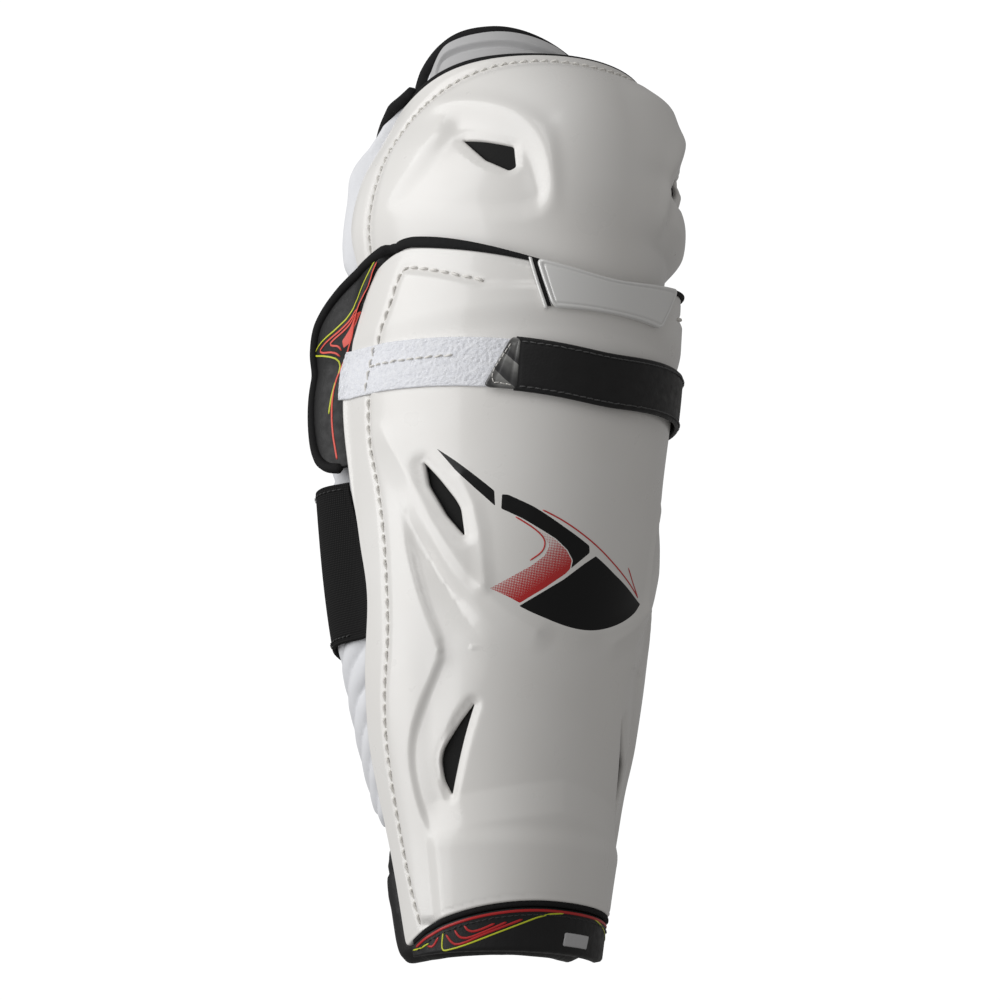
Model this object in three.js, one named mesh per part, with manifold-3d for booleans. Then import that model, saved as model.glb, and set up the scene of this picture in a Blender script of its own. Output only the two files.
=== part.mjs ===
// Hockey shin guard for the right leg, size 15 inches. Units are millimetres.
// +Z runs up the leg, -Y is its front and -X its outer (lateral) side.
// The origin is on the leg's axis, level with the guard's lower edge.
// The pattern below is drawn for a guard of 362 mm and graded up as a whole at the end.
import * as THREE from 'three';
import { mergeVertices } from 'three/addons/utils/BufferGeometryUtils.js';
import Module from 'manifold-3d';

const wasm = await Module();
wasm.setup();

// From the middle of the knee cap to the lower edge, which is how guards are sized.
const SIZE_LENGTH = 381;
const KNEE_CENTRE = 374;
const LOWER_EDGE = 12;
const CUFF_EDGE = 15;
const GRADE = SIZE_LENGTH / (KNEE_CENTRE - LOWER_EDGE);

// Cross-sections of the guard's outside, one row per height:
// z, half width, y of the front, y of the widest point, y of the back, bulge of the calf.
const LEG_SECTIONS = [
  [0, 46, -21, 22, 58, 0],
  [60, 55, -32, 26, 74, 1],
  [120, 67.5, -44, 28, 88, 3],
  [180, 74.5, -56, 28, 96, 8],
  [240, 76.5, -67, 27, 100, 13],
  [285, 80.5, -76, 26, 99, 13],
  [320, 79.5, -81.5, 18, 94, 10],
  [352, 77, -86, 10, 88, 6],
];
const KNEE_SECTIONS = [
  [300, 64, -68.5, 24, 64, 0],
  [322, 68, -77, 26, 66, 0],
  [345, 73, -80.6, 28, 68, 0],
  [370, 77.5, -86.5, 27, 67, 0],
  [395, 74.5, -88, 22, 62, 0],
  [415, 67, -84, 13, 50, 0],
  [428, 63, -77, 7, 44, 0],
  [442, 60, -66, 3, 40, 0],
];
const THIGH_SECTIONS = [
  [408, 57, -60, 3, 44, 0],
  [440, 54, -53, 6, 44, 0],
  [470, 49, -43, 9, 44, 0],
];

// y of the shin shell's rear edge at each height, the same on both sides.
const SHELL_REAR_EDGE = [
  [0, 22], [60, 27], [120, 30], [150, 26], [180, 19], [210, 25],
  [240, 31], [285, 31], [300, 23], [320, 12], [335, 3], [352, -16],
];
// y of the knee cap's rear edge at each height.
const KNEE_REAR_EDGE = [[300, 26], [330, 31], [365, 36], [385, 33], [400, 27], [418, 20], [442, 6]];

// Layers, as depths inward from the outside of the shell.
const SHELL_LAYER = [0, 3];
const ANCHOR_LAYER = [3.4, 5];
const FOAM_LAYER = [3.8, 8.8];
const LINER_LAYER = [9.8, 15];
const ANKLE_LAYER = [3.6, 11];
const CUFF_LAYER = [-0.4, 3.2];
const KNEE_LINER_LAYER = [9.8, 13];
const KNEE_RING_LAYER = [14.4, 21];
const WING_INSERT_LAYER = [3, 4.4];
const WING_PAD_LAYER = [5.2, 9];
const LOOP_LAYER = [-1.9, -0.7];
const HOOK_LAYER = [-3, -2.4];
const STRAP_LAYER = [-5, -3.4];
const TAB_LAYER = [-4.8, -2.4];
const BADGE_LAYER = [-2, -0.6];

const STRAP_WIDTH = 25;
const LOOP_WIDTH = 23;
const LOWER_STRAP = { bottom: 163, top: 241, endAngle: 76 };
const BACK_SPLIT_ANGLE = 176;
// The wrap straps peel off the inner side as far as this angle.
const STRAP_BEND_ANGLE = 112;
const DEGREE = Math.PI / 180;

// Smooth values between the rows of a table whose first column is the height.
function rowAt(rows, z) {
  const last = rows.length - 1;
  const height = THREE.MathUtils.clamp(z, rows[0][0], rows[last][0]);
  let i = 0;
  while (i < last - 1 && height > rows[i + 1][0]) i += 1;
  const before = rows[Math.max(i - 1, 0)];
  const low = rows[i];
  const high = rows[i + 1];
  const after = rows[Math.min(i + 2, last)];
  const span = high[0] - low[0];
  const t = (height - low[0]) / span;
  return low.map((value, k) => {
    const slopeLow = ((high[k] - before[k]) / (high[0] - before[0])) * span;
    const slopeHigh = ((after[k] - value) / (after[0] - low[0])) * span;
    const rise = value * (2 * t ** 3 - 3 * t ** 2 + 1) + high[k] * (3 * t ** 2 - 2 * t ** 3);
    return rise + slopeLow * (t ** 3 - 2 * t ** 2 + t) + slopeHigh * (t ** 3 - t ** 2);
  });
}

// A point on the outside: the angle is 0 at the front, 90 on the inner side and -90 on the outer.
function ringPoint(sections, angle, z) {
  const [, halfWidth, front, widest, back, bulge] = rowAt(sections, z);
  const s = Math.sin(angle * DEGREE);
  const c = Math.cos(angle * DEGREE);
  if (c >= 0) return new THREE.Vector3(halfWidth * s, widest - (widest - front) * c, z);
  const x = halfWidth * Math.abs(s) ** 0.8 + bulge * Math.sin(Math.PI * (-c) ** 0.8) ** 2;
  return new THREE.Vector3(Math.sign(s) * x, widest - (back - widest) * c, z);
}

// The same point moved inward along the surface's normal by the depth.
function layerPoint(sections, angle, z, depth) {
  const step = 0.5;
  const around = ringPoint(sections, angle + step, z).sub(ringPoint(sections, angle - step, z));
  const up = ringPoint(sections, angle, z + step).sub(ringPoint(sections, angle, z - step));
  const normal = around.cross(up).normalize();
  return ringPoint(sections, angle, z).addScaledVector(normal, -depth);
}

// The angle, on the given side (-1 outer, 1 inner), at which a section reaches this y.
function angleAtY(sections, z, y, side) {
  const [, , front, widest, back] = rowAt(sections, z);
  const cosine = y < widest ? (widest - y) / (widest - front) : -(y - widest) / (back - widest);
  return (side * Math.acos(THREE.MathUtils.clamp(cosine, -1, 1))) / DEGREE;
}

const shellEdge = (z, side, behind = 0) => (
  angleAtY(LEG_SECTIONS, z, rowAt(SHELL_REAR_EDGE, z)[1] + behind, side)
);
const kneeEdge = (z, side, behind = 0) => (
  angleAtY(KNEE_SECTIONS, z, rowAt(KNEE_REAR_EDGE, z)[1] + behind, side)
);

const shellTop = (angle) => {
  const slope = angle < 0 ? 0.38 : 0.32;
  const corner = 0.04 * Math.max(0, Math.abs(angle) - 68) ** 2;
  return 321 + slope * (Math.hypot(angle, 10) - 10) - corner;
};
const shellBottom = (angle) => 36 - (angle < 0 ? 17 : 3) * (angle / 85) ** 2;
const kneeTop = (angle) => 440 - 11 * Math.abs(angle / 90) ** 6;
const kneeBottom = (angle) => 304 + 22 * (angle / 90) ** 2;
const thighTop = (angle) => 465 - 30 * Math.abs((angle + 55) / 62) ** 3;
const strapHeight = (angle) => 275 + 0.2 * (Math.hypot(Math.min(Math.abs(angle), 100), 8) - 8);
const band = (width) => (angle) => [strapHeight(angle) - width / 2, strapHeight(angle) + width / 2];

// A box bent onto the surface: angles(z) and heights(angle) give its limits and depth(angle, z)
// the outer and inner depth.
function slab(sections, { angles, heights, depth, cells }) {
  const geometry = new THREE.BoxGeometry(1, 1, 1, cells[0], cells[1], 1);
  const position = geometry.attributes.position;
  for (let i = 0; i < position.count; i += 1) {
    const u = position.getX(i) + 0.5;
    const v = position.getY(i) + 0.5;
    const w = position.getZ(i) + 0.5;
    const middle = THREE.MathUtils.lerp(...angles(250), 0.5);
    const [from, to] = angles(THREE.MathUtils.lerp(...heights(middle), v));
    const angle = THREE.MathUtils.lerp(from, to, u);
    const z = THREE.MathUtils.lerp(...heights(angle), v);
    const [outer, inner] = typeof depth === 'function' ? depth(angle, z) : depth;
    const point = layerPoint(sections, angle, z, THREE.MathUtils.lerp(inner, outer, w));
    position.setXYZ(i, point.x, point.y, point.z);
  }
  return geometry;
}

// An outline of [angle, z] points, extruded through the given depths and bent onto the surface.
function plug(sections, outline, [outer, inner]) {
  const shape = new THREE.Shape(outline.map(([angle, z]) => new THREE.Vector2(angle, z)));
  const geometry = new THREE.ExtrudeGeometry(shape, { depth: 1, bevelEnabled: false });
  const position = geometry.attributes.position;
  for (let i = 0; i < position.count; i += 1) {
    const depth = THREE.MathUtils.lerp(inner, outer, position.getZ(i));
    const point = layerPoint(sections, position.getX(i), position.getY(i), depth);
    position.setXYZ(i, point.x, point.y, point.z);
  }
  return geometry;
}

function solidOf(geometry) {
  const bare = geometry.clone();
  bare.deleteAttribute('normal');
  bare.deleteAttribute('uv');
  const merged = mergeVertices(bare, 1e-3);
  const vertProperties = new Float32Array(merged.attributes.position.array);
  const triVerts = new Uint32Array(merged.index.array);
  return new wasm.Manifold(new wasm.Mesh({ numProp: 3, vertProperties, triVerts }));
}

function cut(geometry, cutters) {
  let solid = solidOf(geometry);
  for (const cutter of cutters) solid = solid.subtract(solidOf(cutter));
  const mesh = solid.getMesh();
  const result = new THREE.BufferGeometry();
  result.setAttribute('position', new THREE.BufferAttribute(mesh.vertProperties, 3));
  result.setIndex(new THREE.BufferAttribute(mesh.triVerts, 1));
  result.computeVertexNormals();
  return result;
}

// The outline on the other side of the leg, with its direction kept.
const mirrored = (outline) => outline.map(([angle, z]) => [-angle, z]).reverse();

const SHELL_VENTS = [
  [[-60, 239], [-58, 227.5], [-51, 212], [-44, 201], [-46, 214.5], [-48, 219], [-54, 229.5]],
  [[-39, 124.5], [-46.5, 114], [-53, 104], [-54.5, 99], [-54, 90], [-51, 83], [-47.5, 95],
    [-44, 107.5]],
];
const KNEE_VENTS = [[[-53, 395.5], [-44.5, 385], [-35, 376.5], [-37, 388], [-47, 393.5]]];

const white = { color: 0xf1efeb, roughness: 0.22, metalness: 0 };
const satin = { color: 0xd9dad8, roughness: 0.3, metalness: 0.4 };
const blackFabric = { color: 0x17171a, roughness: 0.8, metalness: 0 };
const blackVinyl = { color: 0x232326, roughness: 0.45, metalness: 0 };
const whiteFabric = { color: 0xe9e9ee, roughness: 0.8, metalness: 0 };
const greyFoam = { color: 0x2b2b2e, roughness: 0.9, metalness: 0 };
const loopPile = { color: 0xe3e5ee, roughness: 0.95, metalness: 0 };
const hookTape = { color: 0x1c1c1f, roughness: 0.6, metalness: 0 };
const greyTab = { color: 0x55565a, roughness: 0.4, metalness: 0 };
const insert = { color: 0x2a2a2d, roughness: 0.4, metalness: 0 };

const guard = new THREE.Group();

function addNode(group, name, geometry, finish) {
  const mesh = new THREE.Mesh(geometry, new THREE.MeshStandardMaterial(finish));
  mesh.name = name;
  group.add(mesh);
}

// The rigid shin shell, its trim and the padding that is fixed to it.
function shin() {
  const group = new THREE.Group();
  const shell = slab(LEG_SECTIONS, {
    angles: (z) => [shellEdge(z, -1), shellEdge(z, 1)],
    heights: (angle) => [shellBottom(angle), shellTop(angle)],
    depth: SHELL_LAYER,
    cells: [24, 20],
  });
  const vents = [...SHELL_VENTS, ...SHELL_VENTS.map(mirrored)];
  addNode(group, 'shin_shell', cut(shell, vents.map((v) => plug(LEG_SECTIONS, v, [-4, 6]))), white);
  addNode(group, 'shell_top_binding', slab(LEG_SECTIONS, {
    angles: () => [-76, 76],
    heights: (angle) => [shellTop(angle) + 0.6, shellTop(angle) + 3.9],
    depth: [0.2, 2.8],
    cells: [22, 1],
  }), blackFabric);
  addNode(group, 'shell_bottom_binding', slab(LEG_SECTIONS, {
    angles: () => [-82, 82],
    heights: (angle) => [shellBottom(angle) - 3.2, shellBottom(angle) - 0.3],
    depth: [0.2, 2.8],
    cells: [18, 1],
  }), blackFabric);
  addNode(group, 'front_badge', slab(LEG_SECTIONS, {
    angles: (z) => [-21 - (z - 305) * 0.35, 21 + (z - 305) * 0.35],
    heights: (angle) => [305.5, shellTop(angle) - 0.8],
    depth: BADGE_LAYER,
    cells: [10, 2],
  }), satin);
  addNode(group, 'shin_foam', slab(LEG_SECTIONS, {
    angles: (z) => [shellEdge(z, -1, -15), shellEdge(z, 1, -15)],
    heights: (angle) => [68, 278 + 16 * (angle / 90) ** 2],
    depth: FOAM_LAYER,
    cells: [14, 10],
  }), greyFoam);
  addNode(group, 'shin_liner', slab(LEG_SECTIONS, {
    angles: (z) => [shellEdge(z, -1, -3), shellEdge(z, 1, -3)],
    heights: (angle) => [70, 276 + 16 * (angle / 90) ** 2],
    depth: LINER_LAYER,
    cells: [14, 10],
  }), blackFabric);
  const below = (z) => new THREE.BoxGeometry(300, 300, 60).translate(0, 0, z - 30);
  const anklePad = slab(LEG_SECTIONS, {
    angles: (z) => [shellEdge(z, -1, 15), shellEdge(z, 1, 15)],
    heights: () => [LOWER_EDGE - 4, 66],
    depth: ANKLE_LAYER,
    cells: [16, 4],
  });
  addNode(group, 'ankle_pad', cut(anklePad, [below(LOWER_EDGE)]), blackFabric);
  const cuff = slab(LEG_SECTIONS, {
    angles: () => [-84, 84],
    heights: (angle) => [LOWER_EDGE - 4, shellBottom(angle) - 3.6],
    depth: CUFF_LAYER,
    cells: [16, 2],
  });
  addNode(group, 'ankle_cuff', cut(cuff, [below(CUFF_EDGE)]), blackVinyl);
  for (const [side, name] of [[-1, 'lateral'], [1, 'medial']]) {
    addNode(group, ...gusset(side, name), blackVinyl);
    addNode(group, `${name}_anchor_band`, slab(LEG_SECTIONS, {
      angles: (z) => ordered(side, shellEdge(z, side, -12), shellEdge(z, side, -1)),
      heights: () => [72, 290],
      depth: ANCHOR_LAYER,
      cells: [2, 12],
    }), blackFabric);
  }
  addNode(group, 'upper_loop_strip', slab(LEG_SECTIONS, {
    angles: (z) => [shellEdge(z, -1, -1), 2],
    heights: band(LOOP_WIDTH),
    depth: LOOP_LAYER,
    cells: [14, 2],
  }), loopPile);
  addNode(group, 'lower_loop_patch', slab(LEG_SECTIONS, {
    angles: (z) => [LOWER_STRAP.endAngle, shellEdge(z, 1, -2)],
    heights: () => [LOWER_STRAP.bottom + 8, LOWER_STRAP.top - 8],
    depth: LOOP_LAYER,
    cells: [4, 4],
  }), loopPile);
  return group;
}

// The knee cap, which tilts at the knee, with its padding and side flaps.
function knee() {
  const group = new THREE.Group();
  const shell = slab(KNEE_SECTIONS, {
    angles: (z) => [kneeEdge(z, -1), kneeEdge(z, 1)],
    heights: (angle) => [kneeBottom(angle), kneeTop(angle)],
    depth: SHELL_LAYER,
    cells: [22, 14],
  });
  const vents = [...KNEE_VENTS, ...KNEE_VENTS.map(mirrored)];
  addNode(group, 'knee_shell', cut(shell, vents.map((v) => plug(KNEE_SECTIONS, v, [-4, 6]))), white);
  addNode(group, 'knee_top_binding', slab(KNEE_SECTIONS, {
    angles: () => [-86, 86],
    heights: (angle) => [kneeTop(angle) + 0.3, kneeTop(angle) + 2.6],
    depth: [0.4, 2.6],
    cells: [18, 1],
  }), blackFabric);
  addNode(group, 'knee_foam', slab(KNEE_SECTIONS, {
    angles: (z) => [kneeEdge(z, -1, -8), kneeEdge(z, 1, -8)],
    heights: (angle) => [kneeBottom(angle) + 8, kneeTop(angle) - 16],
    depth: FOAM_LAYER,
    cells: [14, 7],
  }), greyFoam);
  addNode(group, 'knee_liner', slab(KNEE_SECTIONS, {
    angles: (z) => [kneeEdge(z, -1, -8), kneeEdge(z, 1, -8)],
    heights: (angle) => [kneeBottom(angle) + 10, kneeTop(angle) - 24],
    depth: KNEE_LINER_LAYER,
    cells: [14, 7],
  }), blackFabric);
  const ringPad = slab(KNEE_SECTIONS, {
    angles: () => [-38, 38],
    heights: () => [336, 412],
    depth: KNEE_RING_LAYER,
    cells: [8, 6],
  });
  const circle = Array.from({ length: 20 }, (_, i) => (
    [18 * Math.cos((i * Math.PI) / 10), 374 + 20 * Math.sin((i * Math.PI) / 10)]
  ));
  addNode(group, 'knee_ring_pad', cut(ringPad, [plug(KNEE_SECTIONS, circle, [8, 26])]), greyFoam);
  for (const [side, name] of [[-1, 'lateral'], [1, 'medial']]) {
    addNode(group, `knee_${name}_flap`, slab(KNEE_SECTIONS, {
      angles: (z) => ordered(side, kneeEdge(z, side, -6), kneeEdge(z, side, 9)),
      heights: () => [330, 408],
      depth: [3.4, 8.4],
      cells: [3, 7],
    }), whiteFabric);
  }
  return group;
}

// The flap over the lower thigh, which rocks on the top of the knee cap.
function thighGuard() {
  const group = new THREE.Group();
  addNode(group, 'thigh_pad', slab(THIGH_SECTIONS, {
    angles: () => [-112, 8],
    heights: (angle) => [414 + 10 * (angle / 100) ** 2, thighTop(angle) - 3],
    depth: [2, 8],
    cells: [14, 4],
  }), whiteFabric);
  addNode(group, 'thigh_binding', slab(THIGH_SECTIONS, {
    angles: () => [-112, 8],
    heights: (angle) => [thighTop(angle) - 2, thighTop(angle) + 2],
    depth: [1.6, 8.4],
    cells: [18, 1],
  }), blackFabric);
  addNode(group, 'thigh_insert', slab(THIGH_SECTIONS, {
    angles: () => [-104, 2],
    heights: (angle) => [418 + 10 * (angle / 100) ** 2, thighTop(angle) - 5],
    depth: [0, 1.6],
    cells: [12, 4],
  }), white);
  addNode(group, 'thigh_liner', slab(THIGH_SECTIONS, {
    angles: () => [-108, 5],
    heights: (angle) => [416 + 10 * (angle / 100) ** 2, thighTop(angle) - 4],
    depth: [8.4, 11],
    cells: [12, 4],
  }), blackFabric);
  return group;
}

// The outline of a calf wing: its heights fall towards its rear edge.
const wingTop = (angle) => 340 - 0.75 * (Math.abs(angle) - 88);
const wingBottom = (angle) => 249 + 0.02 * (Math.abs(angle) - 92) ** 2;
const wingRear = 118;
const wingHingeY = 31;
const raised = (layer) => (angle, z) => (
  layer.map((depth) => depth - 6.5 * THREE.MathUtils.smoothstep(z, 298, 322))
);

// Limits on one side, in the order that a slab takes them.
const ordered = (side, near, far) => (side < 0 ? [far, near] : [near, far]);

// The fixed gusset that fills the corner between the shell's top and a wing.
function gusset(side, name) {
  const rear = (z) => angleAtY(LEG_SECTIONS, z, wingHingeY + 0.6, side);
  return [`${name}_gusset`, slab(LEG_SECTIONS, {
    angles: (z) => ordered(side, shellEdge(z, side, 4.5), rear(z)),
    heights: (angle) => [298, wingTop(angle) - 1],
    depth: raised([3, 9]),
    cells: [3, 5],
  })];
}

// A wing behind one edge of the shell, with the calf pad under it.
function wing(side, name) {
  const group = new THREE.Group();
  const front = (z, near) => {
    const y = Math.max(rowAt(SHELL_REAR_EDGE, z)[1], wingHingeY) + near;
    return angleAtY(LEG_SECTIONS, z, y, side);
  };
  const span = (near, far) => (z) => ordered(side, front(z, near), side * far);
  const edgeSpan = (z) => ordered(side, shellEdge(z, side, 2), side * BACK_SPLIT_ANGLE);
  const padOuter = (angle, z) => 6 + 4.8 * THREE.MathUtils.smoothstep(z, 236, 246);
  addNode(group, `${name}_wing_shell`, slab(LEG_SECTIONS, {
    angles: span(6, wingRear - 3),
    heights: (angle) => [wingBottom(angle) + 4, wingTop(angle) - 4],
    depth: raised(WING_INSERT_LAYER),
    cells: [5, 6],
  }), insert);
  addNode(group, `${name}_wing_pad`, slab(LEG_SECTIONS, {
    angles: span(4.5, wingRear - 1),
    heights: (angle) => [wingBottom(angle) + 1, wingTop(angle) - 1],
    depth: raised(WING_PAD_LAYER),
    cells: [5, 6],
  }), blackVinyl);
  addNode(group, `${name}_wing_binding`, slab(LEG_SECTIONS, {
    angles: () => ordered(side, side * (wingRear - 0.6), side * (wingRear + 1)),
    heights: (angle) => [wingBottom(angle) + 6, wingTop(angle) - 6],
    depth: raised([3.6, 9.2]),
    cells: [1, 5],
  }), blackFabric);
  addNode(group, `${name}_calf_pad`, slab(LEG_SECTIONS, {
    angles: edgeSpan,
    heights: (angle) => [72 + 40 * Math.max(0, (Math.abs(angle) - 110) / 70), 268],
    depth: (angle, z) => [padOuter(angle, z), padOuter(angle, z) + 8],
    cells: [10, 8],
  }), whiteFabric);
  return group;
}

// The upper strap runs from the lateral wing round the calf and over the inner edge to the front.
function upperStrapRear() {
  const group = new THREE.Group();
  const unwound = (angle) => (angle < 0 ? angle + 360 : angle);
  const rise = (angle) => THREE.MathUtils.smoothstep(unwound(angle), 205, 238);
  addNode(group, 'upper_strap_rear', slab(LEG_SECTIONS, {
    angles: () => [STRAP_BEND_ANGLE + 1, 238.5],
    heights: band(STRAP_WIDTH),
    depth: (angle) => STRAP_LAYER.map((depth) => depth + 8.6 * rise(angle)),
    cells: [14, 1],
  }), blackFabric);
  return group;
}

function upperStrapFront() {
  const group = new THREE.Group();
  addNode(group, 'upper_strap_front', slab(LEG_SECTIONS, {
    angles: () => [-29, STRAP_BEND_ANGLE],
    heights: band(STRAP_WIDTH),
    depth: STRAP_LAYER,
    cells: [28, 1],
  }), blackVinyl);
  addNode(group, 'upper_strap_hook', slab(LEG_SECTIONS, {
    angles: () => [-29, -2],
    heights: band(STRAP_WIDTH - 4),
    depth: HOOK_LAYER,
    cells: [6, 1],
  }), hookTape);
  addNode(group, 'upper_strap_tab', slab(LEG_SECTIONS, {
    angles: (z) => [-39 + (z - 268) * 0.32, -29.4],
    heights: band(STRAP_WIDTH - 1),
    depth: TAB_LAYER,
    cells: [3, 2],
  }), greyTab);
  return group;
}

// The wide elastic strap runs from the outer edge of the shell round the calf to the inner side.
function lowerStrap() {
  const group = new THREE.Group();
  const settle = (angle) => THREE.MathUtils.smoothstep(angle, 150, 262);
  const wrap = (name, angles, cells) => addNode(group, name, slab(LEG_SECTIONS, {
    angles,
    heights: () => [LOWER_STRAP.bottom, LOWER_STRAP.top],
    depth: (angle) => STRAP_LAYER.map((depth) => depth + 7.6 * settle(angle)),
    cells,
  }), blackFabric);
  wrap('lower_strap_rear', (z) => [STRAP_BEND_ANGLE + 1, 360 + shellEdge(z, -1, 2)], [18, 4]);
  wrap('lower_strap_front', () => [LOWER_STRAP.endAngle + 8, STRAP_BEND_ANGLE], [12, 4]);
  addNode(group, 'lower_strap_hook', slab(LEG_SECTIONS, {
    angles: () => [LOWER_STRAP.endAngle + 1, 86],
    heights: () => [LOWER_STRAP.bottom + 12, LOWER_STRAP.top - 12],
    depth: HOOK_LAYER,
    cells: [3, 3],
  }), hookTape);
  addNode(group, 'lower_strap_tab', slab(LEG_SECTIONS, {
    angles: () => [LOWER_STRAP.endAngle, LOWER_STRAP.endAngle + 7.5],
    heights: () => [LOWER_STRAP.bottom + 6, LOWER_STRAP.top - 6],
    depth: STRAP_LAYER,
    cells: [2, 3],
  }), greyTab);
  return group;
}

guard.add(
  shin(),
  knee(),
  thighGuard(),
  wing(-1, 'lateral'),
  wing(1, 'medial'),
  upperStrapRear(),
  upperStrapFront(),
  lowerStrap(),
);

guard.scale.setScalar(GRADE);
guard.position.z = -LOWER_EDGE * GRADE;

export default guard;
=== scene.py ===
"""Hockey shin guard for the right leg: fine shells, pads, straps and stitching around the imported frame.

Lengths are drawn in the guard's own pattern millimetres, as (angle, z) on a leg surface: the angle is 0 at
the front, 90 on the inner side and -90 on the outer one, and z is the height. place() turns them to metres.
"""
import math

import bpy
import numpy as np
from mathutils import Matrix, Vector, geometry, kdtree


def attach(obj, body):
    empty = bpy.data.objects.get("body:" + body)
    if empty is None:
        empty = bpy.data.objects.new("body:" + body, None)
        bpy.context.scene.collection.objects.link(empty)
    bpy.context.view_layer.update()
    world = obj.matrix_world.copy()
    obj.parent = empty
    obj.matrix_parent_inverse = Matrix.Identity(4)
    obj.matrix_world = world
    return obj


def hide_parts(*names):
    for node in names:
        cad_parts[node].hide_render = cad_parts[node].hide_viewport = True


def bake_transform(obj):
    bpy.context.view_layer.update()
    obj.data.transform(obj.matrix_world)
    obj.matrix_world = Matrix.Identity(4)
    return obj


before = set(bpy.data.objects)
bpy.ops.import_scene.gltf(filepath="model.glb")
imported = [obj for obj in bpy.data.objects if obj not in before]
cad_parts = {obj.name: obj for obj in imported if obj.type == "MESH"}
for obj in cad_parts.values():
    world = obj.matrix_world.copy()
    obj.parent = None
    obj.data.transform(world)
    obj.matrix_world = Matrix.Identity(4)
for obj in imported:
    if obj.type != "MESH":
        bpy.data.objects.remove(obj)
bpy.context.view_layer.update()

# ---------- driving dimensions, as in the CAD model
SIZE_LENGTH = 381
KNEE_CENTRE = 374
LOWER_EDGE = 12
GRADE = SIZE_LENGTH / (KNEE_CENTRE - LOWER_EDGE)
MM = 0.001
DEGREE = math.pi / 180

# z, half width, y of the front, y of the widest point, y of the back, bulge of the calf
LEG_SECTIONS = [
    [0, 46, -21, 22, 58, 0],
    [60, 55, -32, 26, 74, 1],
    [120, 67.5, -44, 28, 88, 3],
    [180, 74.5, -56, 28, 96, 8],
    [240, 76.5, -67, 27, 100, 13],
    [285, 80.5, -76, 26, 99, 13],
    [320, 79.5, -81.5, 18, 94, 10],
    [352, 77, -86, 10, 88, 6],
]
KNEE_SECTIONS = [
    [300, 64, -68.5, 24, 64, 0],
    [322, 68, -77, 26, 66, 0],
    [345, 73, -80.6, 28, 68, 0],
    [370, 77.5, -86.5, 27, 67, 0],
    [395, 74.5, -88, 22, 62, 0],
    [415, 67, -84, 13, 50, 0],
    [428, 63, -77, 7, 44, 0],
    [442, 60, -66, 3, 40, 0],
]
THIGH_SECTIONS = [
    [408, 57, -60, 3, 44, 0],
    [440, 54, -53, 6, 44, 0],
    [470, 49, -43, 9, 44, 0],
]
SHELL_REAR_EDGE = [
    [0, 22], [60, 27], [120, 30], [150, 26], [180, 19], [210, 25],
    [240, 31], [285, 31], [300, 23], [320, 12], [335, 3], [352, -16],
]
KNEE_REAR_EDGE = [[300, 26], [330, 31], [365, 36], [385, 33], [400, 27], [418, 20], [442, 6]]
SHELL_THICKNESS = 3
STRAP_WIDTH = 25
LOOP_WIDTH = 23
LOWER_STRAP_BOTTOM = 163
LOWER_STRAP_TOP = 241
LOWER_STRAP_END = 76
BACK_SPLIT = 176
STRAP_BEND = 112
WING_REAR = 118


# ---------- numbers
def rows_at(rows, z):
    """Smooth values between the rows of a table whose first column is the height, without that column."""
    rows = np.asarray(rows, float)
    knots = rows[:, 0]
    last = len(knots) - 1
    z = np.clip(z, knots[0], knots[-1])
    i = np.searchsorted(knots[1:-1], z, side="left")
    before, low, high, after = (rows[np.clip(i + k, 0, last)] for k in (-1, 0, 1, 2))
    span = high[..., :1] - low[..., :1]
    t = (z[..., None] - low[..., :1]) / span
    slope_low = (high - before) / (high[..., :1] - before[..., :1]) * span
    slope_high = (after - low) / (after[..., :1] - low[..., :1]) * span
    value = low * (2 * t**3 - 3 * t**2 + 1) + high * (3 * t**2 - 2 * t**3)
    value = value + slope_low * (t**3 - 2 * t**2 + t) + slope_high * (t**3 - t**2)
    return value[..., 1:]


def smooth(x, low, high):
    """0 below low, 1 above high, and smooth between."""
    t = np.clip((x - low) / (high - low), 0, 1)
    return t * t * (3 - 2 * t)


def ramp(x, low, high):
    """0 below low, 1 above high, and straight between."""
    return np.clip((x - low) / (high - low), 0, 1)


def mix(a, b, t):
    return a + (b - a) * t


def bell(x, centre, width):
    """1 at the centre, and near 0 two widths from it."""
    return np.exp(-(((x - centre) / width) ** 2))


def crest(distance, width, power):
    """1 at distance 0, falling to 0 at the width."""
    return np.maximum(0, 1 - distance / width) ** power


def place(points):
    """Pattern millimetres to the frame's metres."""
    points = np.asarray(points, float)
    return (points - (0, 0, LOWER_EDGE)) * GRADE * MM


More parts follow.
